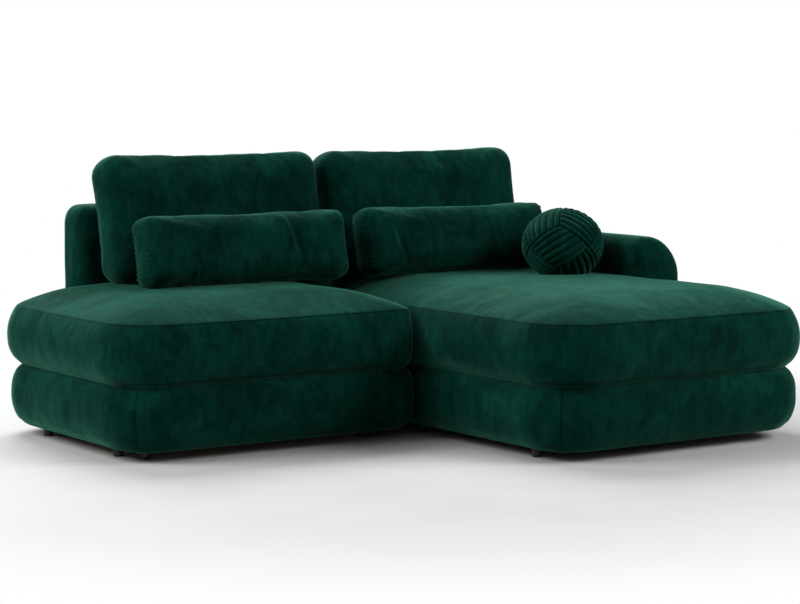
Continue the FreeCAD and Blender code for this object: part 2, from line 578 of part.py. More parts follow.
dent = ball("ball_radius + soft_clearance", f"{BALL_HALF} + soft_clearance")
part(cut(chaise_cushion, back_notch, arm_notch, dent, *chaise_cavities), "chaise_seat_cover")
ball_middle = Placement(Vector(size(BALL_X), size(BALL_Y), size(BALL_Z)), Rotation())
part(solid(pleated_ball(), ball_middle), "ball_cushion_cover")
CORE_SHARE = "((ball_radius - ball_shell - soft_clearance) / ball_radius)"
part(ball(f"ball_radius * {CORE_SHARE}", f"{BALL_HALF} * {CORE_SHARE}"), "ball_cushion_core")


# Back and arm: upholstered blocks with rounded edges, slotted from below for their panels
def rounded_block(name, spans, roundings):
    """A block whose edges are rounded group by group; each group picks edges of the block so far."""
    body = doc.addObject("PartDesign::Body", name)
    last = body.newObject("PartDesign::AdditiveBox", name + "Block")
    (x0, x1), (y0, y1), (z0, z1) = spans
    bind(last, Length=f"({x1})-({x0})", Width=f"({y1})-({y0})", Height=f"({z1})-({z0})",
         base_x=x0, base_y=y0, base_z=z0)
    for index, (radius, wanted) in enumerate(roundings):
        doc.recompute()
        edges = [f"Edge{number}" for number, edge in enumerate(last.Shape.Edges, start=1) if wanted(edge)]
        fillet = body.newObject("PartDesign::Fillet", f"{name}Round{index}")
        fillet.Base = (last, edges)
        bind(fillet, Radius=radius)
        last = fillet
    body.Tip = last
    doc.recompute()
    return body


def along(edge, direction, **planes):
    """True for a straight edge along X, Y or Z whose middle lies on the given planes."""
    middle = edge.BoundBox.Center
    if edge.Length - getattr(edge.BoundBox, direction + "Length") > 0.01:
        return False
    return all(abs(getattr(middle, axis) - size(text)) < 0.01 for axis, text in planes.items())


def on_plane(edge, **planes):
    """True for an edge that lies wholly in the given planes."""
    bounds = edge.BoundBox
    return all(abs(getattr(bounds, axis.upper() + end) - size(text)) < 0.01
               for axis, text in planes.items() for end in ("Min", "Max"))


BACK_BOTTOM = f"({BASE_TOP} + soft_clearance)"
BACK_TOP = f"({BASE_TOP} + back_height)"
BACK_MEET = f"({JOIN} - soft_clearance)"
left_back = rounded_block(
    "LeftBack", ((BACK_LEFT, BACK_MEET), (BACK_FRONT, REAR), (BACK_BOTTOM, BACK_TOP)),
    [("back_cap_round", lambda edge: along(edge, "Y", x=BACK_LEFT, z=BACK_TOP)),
     ("back_round", lambda edge: (on_plane(edge, y=BACK_FRONT) or on_plane(edge, y=REAR))
      and not on_plane(edge, x=BACK_MEET) and not on_plane(edge, z=BACK_BOTTOM)),
     ("butt_round", lambda edge: on_plane(edge, x=BACK_MEET) and not on_plane(edge, z=BACK_BOTTOM))])
right_back = rounded_block(
    "RightBack", ((JOIN, f"{ARM_INNER} - soft_clearance"), (BACK_FRONT, REAR), (BACK_BOTTOM, BACK_TOP)),
    [("back_round", lambda edge: along(edge, "X", z=BACK_TOP)),
     ("butt_round", lambda edge: on_plane(edge, x=JOIN) and not on_plane(edge, z=BACK_BOTTOM))])
ARM_TOP = f"({BASE_TOP} + arm_height)"
arm = rounded_block(
    "Arm", ((ARM_INNER, RIGHT), (ARM_FRONT, REAR), (BACK_BOTTOM, ARM_TOP)),
    [("arm_roll", lambda edge: along(edge, "Y", x=RIGHT, z=ARM_TOP)),
     ("arm_edge", lambda edge: along(edge, "Y", x=ARM_INNER, z=ARM_TOP)),
     ("arm_edge", lambda edge: on_plane(edge, y=ARM_FRONT) and not on_plane(edge, z=BACK_BOTTOM)),
     ("arm_edge", lambda edge: on_plane(edge, y=REAR) and not on_plane(edge, z=BACK_BOTTOM))])

PANEL_FOOT = "(floor_gap + panel_lift)"
SLACK = "soft_clearance"


def panel_slot(x, y, top):
    return box(f"{x[0]} - {SLACK}", f"{x[1]} + {SLACK}", f"{y[0]} - {SLACK}", f"{y[1]} + {SLACK}",
               "0", f"{top} + {SLACK}")


BACK_PANEL_TOP = f"({BACK_TOP} - panel_drop)"
ARM_PANEL_TOP = f"({ARM_TOP} - arm_roll)"
for side, block in (("left", left_back), ("right", right_back)):
    span = BACK_PANELS[side]
    part(cut(block, panel_slot(span, BACK_PANEL_Y, BACK_PANEL_TOP)), f"{side}_back_cover")
    part(cut(box(*span, *BACK_PANEL_Y, PANEL_FOOT, BACK_PANEL_TOP), *back_holes(side)), f"{side}_back_panel")
part(cut(arm, panel_slot(ARM_PANEL_X, ARM_PANEL_Y, ARM_PANEL_TOP)), "arm_cover")
part(cut(box(*ARM_PANEL_X, *ARM_PANEL_Y, PANEL_FOOT, ARM_PANEL_TOP), *arm_holes()), "arm_panel")
part(group(*[bolt("Y", BACK_PANEL_Y[0], REAR_RAIL[1], x, "0", PANEL_BOLT_Z)
             for side in BACK_PANELS for x in bolt_pair(BACK_PANELS[side])]), "back_bolts")
part(group(*[bolt("X", ARM_PANEL_X[0], CHAISE_RIGHT_RAIL[1], "0", y, PANEL_BOLT_Z)
             for y in bolt_pair(ARM_PANEL_Y)]), "arm_bolts")


# Feet under the rails
def foot(x, y):
    cone = doc.addObject("Part::Cone", "Foot")
    return bind(cone, Radius1="foot_radius - foot_taper", Radius2="foot_radius", Height="floor_gap",
                base_x=x, base_y=y, base_z="0")


def rail_feet(rail, front, count):
    """Feet along a side rail, from near its front end to near the rear."""
    middle = f"({rail[0]} + {rail[1]}) / 2"
    first, last = f"({front} + foot_margin)", f"({REAR_RAIL[1]} - foot_margin)"
    return [foot(middle, f"{first} + ({last} - {first}) * {index} / {count - 1}") for index in range(count)]


part(group(*rail_feet(LEFT_RAIL, RAIL_FRONT, 2), *rail_feet(INNER_RAIL, RAIL_FRONT, 2)), "left_feet")
part(group(*rail_feet(CHAISE_LEFT_RAIL, CHAISE_FRONT_RAIL[0], 3),
           *rail_feet(CHAISE_RIGHT_RAIL, CHAISE_FRONT_RAIL[0], 3)), "chaise_feet")

# Pull-out bed: front board, bars, slats, runners and castors
part(trimmed(left_base_core, f"{LEFT_RAIL[0]} + run_gap", f"{LEFT_BASE_END} - join_gap", *BOARD, "floor_gap",
             f"{BASE_TOP} - front_drop"), "pullout_front_board")
BAR_Z = ("(floor_gap + bar_lift)", "(floor_gap + bar_lift + bar_height)")
BAR_Y = (BOARD[1], f"({BACK_PANEL_Y[0]} - bar_room)")
RUN = "(runner_depth + runner_stand)"
OUTER_BAR = (f"({LEFT_RAIL[1]} + {RUN})", f"({LEFT_RAIL[1]} + {RUN} + bar_thickness)")
INNER_BAR = (f"({INNER_RAIL[0]} - {RUN} - bar_thickness)", f"({INNER_RAIL[0]} - {RUN})")
part(group(box(*OUTER_BAR, *BAR_Y, *BAR_Z), box(*INNER_BAR, *BAR_Y, *BAR_Z)), "pullout_side_bars")
part(box(OUTER_BAR[1], INNER_BAR[0], f"{BAR_Y[1]} - bar_thickness", BAR_Y[1], *BAR_Z), "pullout_rear_bar")
SLAT_STEP = f"(({BAR_Y[1]} - {BAR_Y[0]} - slat_width) / (slat_count - 1))"
SLAT_Z = (BAR_Z[1], f"({BAR_Z[1]} + board_thickness)")
slats = []
for index in range(round(size("slat_count"))):
    slat_front = f"({BAR_Y[0]} + {SLAT_STEP} * {index})"
    slats.append(box(OUTER_BAR[0], INNER_BAR[1], slat_front, f"{slat_front} + slat_width", *SLAT_Z))
part(group(*slats), "pullout_slats")

RUNNER_Y = (RAIL_FRONT, f"({BAR_Y[1]} - runner_short)")
NEST = "(runner_wall + runner_clearance)"


def channel(face, sign, level, wall):
    """One member of a drawer runner; level counts inwards from the fixed channel on a rail's face."""
    start = f"({face} + {sign} * {level} * {NEST})"
    mouth = f"({face} + {sign} * runner_depth)"
    end = f"({face} + {sign} * {RUN})" if wall is None else mouth
    low, high = f"(floor_gap + runner_lift + {level} * {NEST})", \
        f"(floor_gap + runner_lift + runner_height - {level} * {NEST})"
    ends = (start, end) if sign > 0 else (end, start)
    bar = box(*ends, *RUNNER_Y, low, high)
    if wall is None:
        return bar
    inside = f"({start} + {sign} * {wall})"
    beyond = f"({mouth} + {sign} * {wall})"
    ends = (inside, beyond) if sign > 0 else (beyond, inside)
    return cut(bar, box(*ends, f"{RUNNER_Y[0]} - {wall}", f"{RUNNER_Y[1]} + {wall}",
                        f"{low} + {wall}", f"{high} - {wall}"))


RUNNER_FACES = [(LEFT_RAIL[1], 1), (INNER_RAIL[0], -1)]
part(group(*[channel(face, sign, 0, "runner_wall") for face, sign in RUNNER_FACES]), "runner_fixed_channels")
part(group(*[channel(face, sign, 1, "runner_wall") for face, sign in RUNNER_FACES]), "runner_middle_channels")
part(group(*[channel(face, sign, 2, None) for face, sign in RUNNER_FACES]), "runner_inner_bars")

WHEEL_Z = "(wheel_radius + wheel_ease)"
CASTOR_X = [f"(({bar[0]} + {bar[1]}) / 2)" for bar in (OUTER_BAR, INNER_BAR)]
CASTOR_Y = {"front": f"({BOARD[1]} + castor_front)", "rear": f"({BAR_Y[1]} - castor_rear)"}
FORK_HALF = "(wheel_width / 2 + fork_play + fork_sheet)"
AXLE_HOLE = "axle_radius + axle_clearance"


def fork(x, y):
    """A fixed castor fork under a side bar: a top plate with two cheeks."""
    cheek_z = (f"{WHEEL_Z} - 2 * axle_radius", BAR_Z[0])
    span_y = (f"{y} - fork_reach", f"{y} + fork_reach")
    plate = box(f"{x} - {FORK_HALF}", f"{x} + {FORK_HALF}", *span_y, f"{BAR_Z[0]} - fork_sheet", BAR_Z[0])
    left = box(f"{x} - {FORK_HALF}", f"{x} - {FORK_HALF} + fork_sheet", *span_y, *cheek_z)
    right = box(f"{x} + {FORK_HALF} - fork_sheet", f"{x} + {FORK_HALF}", *span_y, *cheek_z)
    hole = rod("X", AXLE_HOLE, f"2 * {FORK_HALF}", f"{x} - {FORK_HALF}", y, WHEEL_Z)
    return cut(fuse(plate, left, right), hole)


def wheel(x, y):
    edge = f"{x} - wheel_width / 2"
    return cut(rod("X", "wheel_radius", "wheel_width", edge, y, WHEEL_Z),
               rod("X", AXLE_HOLE, "wheel_width", edge, y, WHEEL_Z))


castor_places = [(x, y) for y in CASTOR_Y.values() for x in CASTOR_X]
part(group(*[fork(x, y) for x, y in castor_places]), "castor_forks")
part(group(*[rod("X", "axle_radius", f"2 * {FORK_HALF}", f"{x} - {FORK_HALF}", y, WHEEL_Z)
             for x, y in castor_places]), "castor_axles")
for end, y in CASTOR_Y.items():
    part(group(*[wheel(x, y) for x in CASTOR_X]), f"{end}_castor_wheels")


# Loose cushions
def pulled_outline(width, height, inset, radius, pull, depth):
    """An upright closed outline round the middle of a cushion, its sides arcs that draw in."""
    half_w, half_h = width / 2 - inset, height / 2 - inset
    slant = radius * (1 - math.sqrt(0.5))
    corners = []
    for sx, sz in ((-1, -1), (1, -1), (1, 1), (-1, 1)):
        level_end = Vector(sx * (half_w - radius), depth, sz * half_h)
        upright_end = Vector(sx * half_w, depth, sz * (half_h - radius))
        knee = Vector(sx * (half_w - slant), depth, sz * (half_h - slant))
        corners.append([upright_end, knee, level_end] if sx * sz > 0 else [level_end, knee, upright_end])
    middles = [Vector(0, depth, pull - half_h), Vector(half_w - pull, depth, 0),
               Vector(0, depth, half_h - pull), Vector(pull - half_w, depth, 0)]
    edges = []
    for index, corner in enumerate(corners):
        edges.append(Part.Arc(*corner).toShape())
        edges.append(Part.Arc(corner[2], middles[index], corners[(index + 1) % 4][0]).toShape())
    return Part.Wire(edges)


def back_cushion_form(width):
    """Two crowned faces and a band between their welts."""
    height, round_off, pull = size("cushion_height"), size("cushion_round"), size("cushion_pull")
    band, crown = size("cushion_band") / 2, size("(cushion_thickness - cushion_band) / 2")
    face = [(1.0, 1.0), (0.86, 0.5), (0.5, 0.17), (0.0, 0.0)]
    steps = [(-band - up * crown, share * size("cushion_run")) for up, share in face]
    steps += [(0.0, -size("cushion_swell"))] + [(-depth, inset) for depth, inset in reversed(steps)]
    wires = [pulled_outline(width, height, inset, round_off, pull, depth) for depth, inset in steps]
    return Part.makeLoft(wires, True, True)


def bolster_form(length):
    """A stuffed bar: one rounded section that shrinks at the two gathered ends."""
    half, tall, deep = length / 2, size("bolster_height"), size("bolster_thickness")
    round_off = size("bolster_round")
    steps = [(-1.0, 0.72), (-0.975, 0.88), (-0.9, 0.97), (-0.7, 1.0), (0.0, 0.98), (0.7, 1.0), (0.9, 0.97),
             (0.975, 0.88), (1.0, 0.72)]
    turn = Rotation(Vector(0, 0, 1), 90)
    wires = []
    for place, share in steps:
        wire = pulled_outline(deep * share, tall * share, 0, round_off * share, -size("bolster_swell"), 0)
        wire.Placement = Placement(Vector(place * half, 0, 0), turn)
        wires.append(wire)
    return Part.makeLoft(wires, True, True)


def core_block(width, depth, height):
    return Part.makeBox(width, depth, height, Vector(-width / 2, -depth / 2, -height / 2))


def settle(form, turn, spot, seat):
    """Lowers a tilted form from above until it lies on the seat, the soft clearance apart."""
    gap = size("soft_clearance")
    near_enough = 1.2 * gap
    low = form.copy()
    low.Placement = Placement(spot, turn)
    apart = low.distToShape(seat)[0]
    while apart > near_enough:
        low.Placement = Placement(low.Placement.Base - Vector(0, 0, apart - gap), turn)
        apart = low.distToShape(seat)[0]
    return low.Placement


def loose_cushion(name, form, inner, place):
    """A cover with its wadding round a foam core."""
    slack = size("soft_clearance")
    core = core_block(*[measure - 2 * slack for measure in inner])
    part(solid(form.cut(core_block(*inner)), place), f"{name}_cover")
    part(solid(core, place), f"{name}_core")


doc.recompute()
LEAN = Rotation(Vector(1, 0, 0), -size("cushion_lean"))
lean_angle = math.radians(size("cushion_lean"))
margin, end_margin = size("fill_margin"), size("core_margin")
cushion_room = size(f"({ARM_INNER} - {BACK_LEFT} - 3 * cushion_gap) / 2")
cushion_width = cushion_room - 2 * size("cushion_swell")
cushion_form = back_cushion_form(cushion_width)
cushion_inner = (cushion_width - 2 * end_margin, size("cushion_band"),
                 size("cushion_height") - 2 * end_margin)
bolster_length = cushion_width - 2 * size("bolster_inset")
bolster = bolster_form(bolster_length)
bolster_inner = (bolster_length - 2 * end_margin, size("bolster_thickness") - 2 * margin,
                 size("bolster_height") - 2 * margin)
covers = {thing.Label: thing.Shape for thing in parts}
start_height = size(f"{CROWN_TOP} + cushion_height")
for side, index in (("left", 0), ("right", 1)):
    seat = covers["left_seat_cover"] if side == "left" else covers["chaise_seat_cover"]
    x = size(f"{BACK_LEFT} + cushion_gap") + cushion_room / 2 + index * (cushion_room + size("cushion_gap"))
    leaning = cushion_form.copy()
    leaning.Placement = Placement(Vector(), LEAN)
    depth = size(f"{BACK_FRONT} - cushion_stand") - leaning.BoundBox.YMax
    place = settle(cushion_form, LEAN, Vector(x, depth, start_height), seat)
    loose_cushion(f"{side}_back_cushion", cushion_form, cushion_inner, place)
    reach = size("(cushion_thickness + bolster_thickness) / 2 + bolster_stand")
    bolster_place = settle(bolster, LEAN, Vector(x, place.Base.y - reach, start_height), seat)
    drop = place.Base.z - bolster_place.Base.z
    forward = (reach + math.sin(lean_angle) * drop) / math.cos(lean_angle)
    bolster_place = settle(bolster, LEAN, Vector(x, place.Base.y - forward, start_height), seat)
    loose_cushion(f"{side}_lumbar_cushion", bolster, bolster_inner, bolster_place)

doc.recompute()
for thing in doc.Objects:
    if "Invalid" in thing.State or "Error" in thing.State:
        raise RuntimeError(f"{thing.Label} failed: {thing.State}")
for thing in parts:
    if thing.Shape.isNull() or not thing.Shape.isValid():
        raise RuntimeError(f"{thing.Label} has no valid shape")

os.makedirs("parts", exist_ok=True)
for thing in parts:
    thing.Shape.exportStep(f"parts/{thing.Label}.step")
print(f"{len(parts)} sub-parts written")
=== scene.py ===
# %% [markdown]
# # Corner sofa bed in green velvet
# Two soft seats stand side by side on padded bases. The left base has a front that pulls out with a
# slatted bed. A back, one arm, two back cushions, two lumbar cushions and a pleated ball complete it.
# The CAD model is the frame: every soft piece here takes the place of its plain solid.

# %% Frame
import json
import math

import bmesh
import bpy
import numpy as np
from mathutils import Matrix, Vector, noise


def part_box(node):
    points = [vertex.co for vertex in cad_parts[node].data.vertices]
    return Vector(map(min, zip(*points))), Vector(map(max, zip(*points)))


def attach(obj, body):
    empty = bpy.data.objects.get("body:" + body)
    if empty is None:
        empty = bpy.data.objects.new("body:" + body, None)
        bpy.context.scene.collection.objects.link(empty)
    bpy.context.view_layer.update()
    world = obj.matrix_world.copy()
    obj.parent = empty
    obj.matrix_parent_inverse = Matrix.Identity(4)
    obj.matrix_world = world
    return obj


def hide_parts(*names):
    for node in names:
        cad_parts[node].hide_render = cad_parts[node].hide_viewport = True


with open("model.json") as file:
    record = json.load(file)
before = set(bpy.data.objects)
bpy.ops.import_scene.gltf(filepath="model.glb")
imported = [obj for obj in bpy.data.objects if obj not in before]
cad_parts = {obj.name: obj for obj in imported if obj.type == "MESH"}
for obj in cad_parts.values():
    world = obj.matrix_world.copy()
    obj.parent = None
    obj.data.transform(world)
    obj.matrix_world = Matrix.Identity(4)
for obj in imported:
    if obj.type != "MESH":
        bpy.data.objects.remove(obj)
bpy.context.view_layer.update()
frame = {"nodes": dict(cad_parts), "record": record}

print("CAD nodes:", len(frame["nodes"]))

# %% [markdown]
# ## Sizes
# All in metres, in the CAD frame: X along the back, -Y to the front, Z up. A tier is described by its seam
# rectangle (left, right, front, rear), the radii of its four plan corners from the front left one round, and
# a profile of (share of the height, inset) pairs.

# %% Sizes
# plan corner radii
WIDE, NARROW = 0.165, 0.040
LEFT_SEAT = (-1.020, -0.022, -0.1025, 0.7975)
CHAISE_SEAT = (0.010, 1.020, -0.7975, 0.7975)
LEFT_BASE = (-1.020, -0.013, -0.1025, 0.7975)
LEFT_RADII = [WIDE, NARROW, NARROW, WIDE]
CHAISE_RADII = [WIDE, WIDE, WIDE, NARROW]
SEAT_FOOT, SEAT_SEAM, CROWN, CROWN_RUN = 0.2245, 0.410, 0.065, 0.330
BASE_FOOT, BASE_TOP = 0.030, 0.222
SEAT_SIDE = [(0.0, 0.018), (0.07, 0.0), (0.21, -0.0185), (0.49, -0.028), (0.80, -0.0185), (1.0, 0.0)]
BASE_SIDE = [(0.0, 0.032), (0.08, 0.0096), (0.27, -0.0114), (0.58, -0.019), (0.84, -0.0105),
             (0.96, 0.0042), (1.0, 0.014)]
BACK_FRONT, BACK_LEFT, ARM_INNER, ARM_FRONT = 0.6475, -0.806, 0.830, -0.1805
LEAN = math.radians(12)
# half the width and half the height of the ball
BALL_LEVEL, BALL_UPRIGHT = 0.1375, 0.1225
# points nearer than this to a sewn rim don't move when a cover is blown up
HELD_RIM = 0.004
# guards against dividing by nothing
TINY, LEAST_MOVE = 1e-9, 1e-12

# %% [markdown]
# ## Meshes
# A grid of points is mapped on a rounded outline, so that the pieces are mostly even quads. Each point also
# carries a mark of painted shade, high in sewn seams and in the ball's pleat valleys, that darkens the nap
# there.

# %% Meshes


def smooth_curve(knots, spots):
    """Values of a smooth curve through (place, value) knots."""
    places = np.array([knot[0] for knot in knots])
    values = np.array([knot[1] for knot in knots])
    slopes = np.gradient(values, places)
    spots = np.asarray(spots)
    index = np.clip(np.searchsorted(places, spots) - 1, 0, len(places) - 2)
    width = places[index + 1] - places[index]
    t = (spots - places[index]) / width
    a, b = values[index], values[index + 1]
    return ((2 * t**3 - 3 * t**2 + 1) * a + (t**3 - 2 * t**2 + t) * width * slopes[index]
            + (3 * t**2 - 2 * t**3) * b + (t**3 - t**2) * width * slopes[index + 1])


def outline_side(rect, radii, side, spots):
    """Points and outward normals along one side of a rounded rectangle, from mid-corner to mid-corner."""
    x0, x1, y0, y1 = rect
    corners = [(x0, y0), (x1, y0), (x1, y1), (x0, y1)]
    inward = [(1, 1), (-1, 1), (-1, -1), (1, -1)]
    first, second = side, (side + 1) % 4
    r0, r1 = radii[first], radii[second]
    span = (x1 - x0) if side % 2 == 0 else (y1 - y0)
    arc0, line, arc1 = r0 * math.pi / 4, span - r0 - r1, r1 * math.pi / 4
    out = math.radians((-90, 0, 90, 180)[side])
    points, normals = [], []
    for spot in spots:
        s = spot * (arc0 + line + arc1)
        if s < arc0:
            corner, radius, turn = first, r0, out - math.pi / 4 + s / max(r0, TINY)
        elif s > arc0 + line:
            corner, radius, turn = second, r1, out + (s - arc0 - line) / max(r1, TINY)
        else:
            corner, radius, turn = first, r0, out
        middle = np.array(corners[corner]) + radius * np.array(inward[corner])
        normal = np.array([math.cos(turn), math.sin(turn)])
        point = middle + radius * normal
        if arc0 <= s <= arc0 + line:
            point = point + (s - arc0) * np.array([-math.sin(out), math.cos(out)])
        points.append(point)
        normals.append(normal)
    return np.array(points), np.array(normals)


def outline_ring(rect, radii, nx, ny):
    """The whole outline as one ring of 2 * (nx + ny) points, with normals, from the front-left corner."""
    points, normals = [], []
    for side, count in enumerate((nx, ny, nx, ny)):
        p, n = outline_side(rect, radii, side, np.arange(count) / count)
        points.append(p)
        normals.append(n)
    return np.concatenate(points), np.concatenate(normals)


def ring_index(nx, ny):
    """Grid places (i, j) in the order of the outline ring."""
    order = [(i, 0) for i in range(nx)] + [(nx, j) for j in range(ny)]
    return order + [(i, ny) for i in range(nx, 0, -1)] + [(0, j) for j in range(ny, 0, -1)]


# where along half a side the distance from the rim begins to blend with that of the next side
CORNER_START, CORNER_SPAN = 0.7, 0.3


def face_grid(rect, radii, nx, ny):
    """A grid inside a rounded outline: its places and their distances from the rim."""
    x0, x1, y0, y1 = rect
    middle = np.array([(x0 + x1) / 2, (y0 + y1) / 2])
    half = np.array([(x1 - x0) / 2, (y1 - y0) / 2])
    places = np.zeros((nx + 1, ny + 1, 2))
    depth = np.zeros((nx + 1, ny + 1))
    for i in range(nx + 1):
        for j in range(ny + 1):
            u, v = 2 * i / nx - 1, 2 * j / ny - 1
            r = max(abs(u), abs(v))
            if r < TINY:
                places[i, j], depth[i, j] = middle, half.min()
                continue
            a, b = u / r, v / r
            if abs(abs(b) - 1) < TINY:
                side, spot, along = (0, (a + 1) / 2, 1) if b < 0 else (2, (1 - a) / 2, 1)
            else:
                side, spot, along = (1, (b + 1) / 2, 0) if a > 0 else (3, (1 - b) / 2, 0)
            rim = outline_side(rect, radii, side, [spot])[0][0]
            places[i, j] = middle + r * (rim - middle)
            near = np.clip((abs(2 * spot - 1) - CORNER_START) / CORNER_SPAN, 0, 1)
            mix = near * near * (3 - 2 * near) / 2
            depth[i, j] = (1 - r) * (half[along] * (1 - mix) + half[1 - along] * mix)
    return places, depth


class Form:
    """Points, faces, painted shade marks and pins of one piece while it is put together."""

    def __init__(self):
        self.points, self.faces, self.seam, self.hold = [], [], [], []

    def add(self, points, seam=0.0, hold=0.0):
        start = len(self.points)
        count = len(points)
        self.points.extend(np.asarray(points, dtype=float).tolist())
        self.seam.extend(np.broadcast_to(seam, count).tolist())
        self.hold.extend(np.broadcast_to(hold, count).tolist())
        return list(range(start, start + count))

    def bridge(self, low, high, closed=True):
        """Quads between two rows of point numbers, facing out when the rows run anticlockwise upwards."""
        count = len(low)
        for k in range(count if closed else count - 1):
            n = (k + 1) % count
            self.faces.append((low[k], low[n], high[n], high[k]))

    def grid(self, numbers, flip=False):
        """Quads of a grid of point numbers."""
        for i in range(len(numbers) - 1):
            for j in range(len(numbers[0]) - 1):
                quad = (numbers[i][j], numbers[i + 1][j], numbers[i + 1][j + 1], numbers[i][j + 1])
                self.faces.append(quad[::-1] if flip else quad)

    def build(self, name):
        mesh = bpy.data.meshes.new(name)
        mesh.from_pydata(self.points, [], self.faces)
        # the marks become the painted shade that darkens the velvet
        shade_marks = mesh.attributes.new("seam", "FLOAT", "POINT")
        shade_marks.data.foreach_set("value", self.seam)
        mesh.polygons.foreach_set("use_smooth", [True] * len(mesh.polygons))
        mesh.update()
        piece = bpy.data.objects.new(name, mesh)
        bpy.context.scene.collection.objects.link(piece)
        return piece


def rumple(points, normals, height, length, seed):
    """Moves points along their normals by a soft, slow unevenness."""
    moved = np.array(points, dtype=float)
    for k, (point, normal) in enumerate(zip(points, normals)):
        spot = Vector(point) / length + Vector((seed, 0.7 * seed, 1.3 * seed))
        moved[k] += height * (noise.noise(spot) + 0.5 * noise.noise(2.1 * spot)) * np.asarray(normal)
    return moved


def coordinates(piece):
    flat = np.empty(3 * len(piece.data.vertices))
    piece.data.vertices.foreach_get("co", flat)
    return flat.reshape(-1, 3)


def vertex_normals(piece):
    flat = np.empty(3 * len(piece.data.vertices))
    piece.data.vertices.foreach_get("normal", flat)
    return flat.reshape(-1, 3)


def place(piece, points):
    piece.data.vertices.foreach_set("co", np.asarray(points, dtype=float).ravel())
    piece.data.update()


def make_uneven(piece, points, share, height, length, seed):
    """Gives a piece a soft unevenness, in full where share is 1."""
    moved = rumple(points, vertex_normals(piece), height, length, seed)
    place(piece, points + (moved - points) * share[:, None])


PRESSURE, FRAMES = 4.0, 20


def inflate(piece, hold, slack, cap):
    """Blows a cover up like cloth; hold pins points, slack is spare cloth, cap the farthest a point moves."""
    scene = bpy.context.scene
    rest = coordinates(piece)
    pins = piece.vertex_groups.new(name="pins")
    for number, weight in enumerate(hold):
        if weight > 0:
            pins.add([number], weight, "REPLACE")
    modifier = piece.modifiers.new("Cloth", "CLOTH")
    cloth = modifier.settings
    cloth.quality = 5
    cloth.mass = 0.3
    cloth.tension_stiffness = cloth.compression_stiffness = 12
    cloth.shear_stiffness = 4
    cloth.bending_stiffness = 0.4
    cloth.vertex_group_mass = pins.name
    cloth.shrink_min = -slack
    cloth.use_pressure = True
    cloth.uniform_pressure_force = PRESSURE
    cloth.effector_weights.gravity = 0
    modifier.collision_settings.use_collision = False
    modifier.point_cache.frame_start = 1
    modifier.point_cache.frame_end = FRAMES
    for step in range(1, FRAMES + 1):
        scene.frame_set(step)
    shaped = piece.evaluated_get(bpy.context.evaluated_depsgraph_get())
    flat = np.empty(3 * len(piece.data.vertices))
    shaped.data.vertices.foreach_get("co", flat)
    move = flat.reshape(-1, 3) - rest
    length = np.linalg.norm(move, axis=1, keepdims=True)
    limit = cap * np.tanh(length / cap) / np.maximum(length, LEAST_MOVE)
    piece.modifiers.remove(modifier)
    piece.vertex_groups.remove(pins)
    scene.frame_set(1)
    place(piece, rest + move * limit)
    print(f"{piece.name}: cloth moved up to {1000 * length.max():.1f} mm, kept {1000 * cap:.0f} mm")


def finish_surface(piece):
    """Subdivides a piece once for good, then closes the flat openings that were left in it."""
    surface = piece.modifiers.new("Subdivision", "SUBSURF")
    surface.levels = surface.render_levels = 1
    shaped = piece.evaluated_get(bpy.context.evaluated_depsgraph_get())
    mesh = bpy.data.meshes.new_from_object(shaped)
    piece.modifiers.clear()
    piece.data = mesh
    work = bmesh.new()
    work.from_mesh(mesh)
    rims = [edge for edge in work.edges if edge.is_boundary]
    if rims:
        bmesh.ops.holes_fill(work, edges=rims, sides=0)
        bmesh.ops.recalc_face_normals(work, faces=work.faces)
        work.to_mesh(mesh)
    work.free()


def middle_of(node):
    low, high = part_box(node)
    return (np.array(low) + np.array(high)) / 2


def crease_caps(piece):
    """Keeps the flat ends of a strip, its only faces with many corners, sharp when it is subdivided."""
    work = bmesh.new()
    work.from_mesh(piece.data)
    crease = work.edges.layers.float.new("crease_edge")
    for face in work.faces:
        if len(face.verts) > 4:
            for edge in face.edges:
                edge[crease] = 1.0
    work.to_mesh(piece.data)
    work.free()


soft_pieces = []


def soft(piece, body, nodes):
    """Names a padded piece's CAD body and the nodes that it stands for."""
    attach(piece, body)
    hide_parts(*nodes)
    soft_pieces.append(piece)
    print(f"{piece.name}: {len(piece.data.polygons)} faces for {', '.join(nodes)}")
    return piece


# %% [markdown]
# ## Seat cushions
# A crowned top is sewn to a swollen side along a seam that draws in a little. The cloth is then blown up
# between the held seams. The notches for the back and the arm are cut next, and last the ball presses its
# dent into the chaise.

# %% Seat cushions
SEAT_LEVELS = [0.992, 0.975, 0.94, 0.88, 0.8, 0.72, 0.64, 0.56, 0.48, 0.4, 0.32, 0.24, 0.17, 0.11, 0.06,
               0.025, 0.0]
UPPER_SEAM, LOWER_SEAM, HELD_ABOVE = 0.992, 0.06, 0.97
SEAM_DRAW = 0.002
# painted shade along the rim of the crowned top: its strength and how far in it reaches
TOP_RIM_SHADE, TOP_RIM_SHADE_RUN = 0.2, 0.012
SEAT_UNEVEN = (0.003, 0.16)
# the unevenness begins this far above the seat's foot, and is full after as much again
FIRM_FOOT = 0.03
# how near to a cutting plane a point counts as on it, for the cut and after it
CUT_REACH, PLANE_REACH = 1e-6, 1e-5


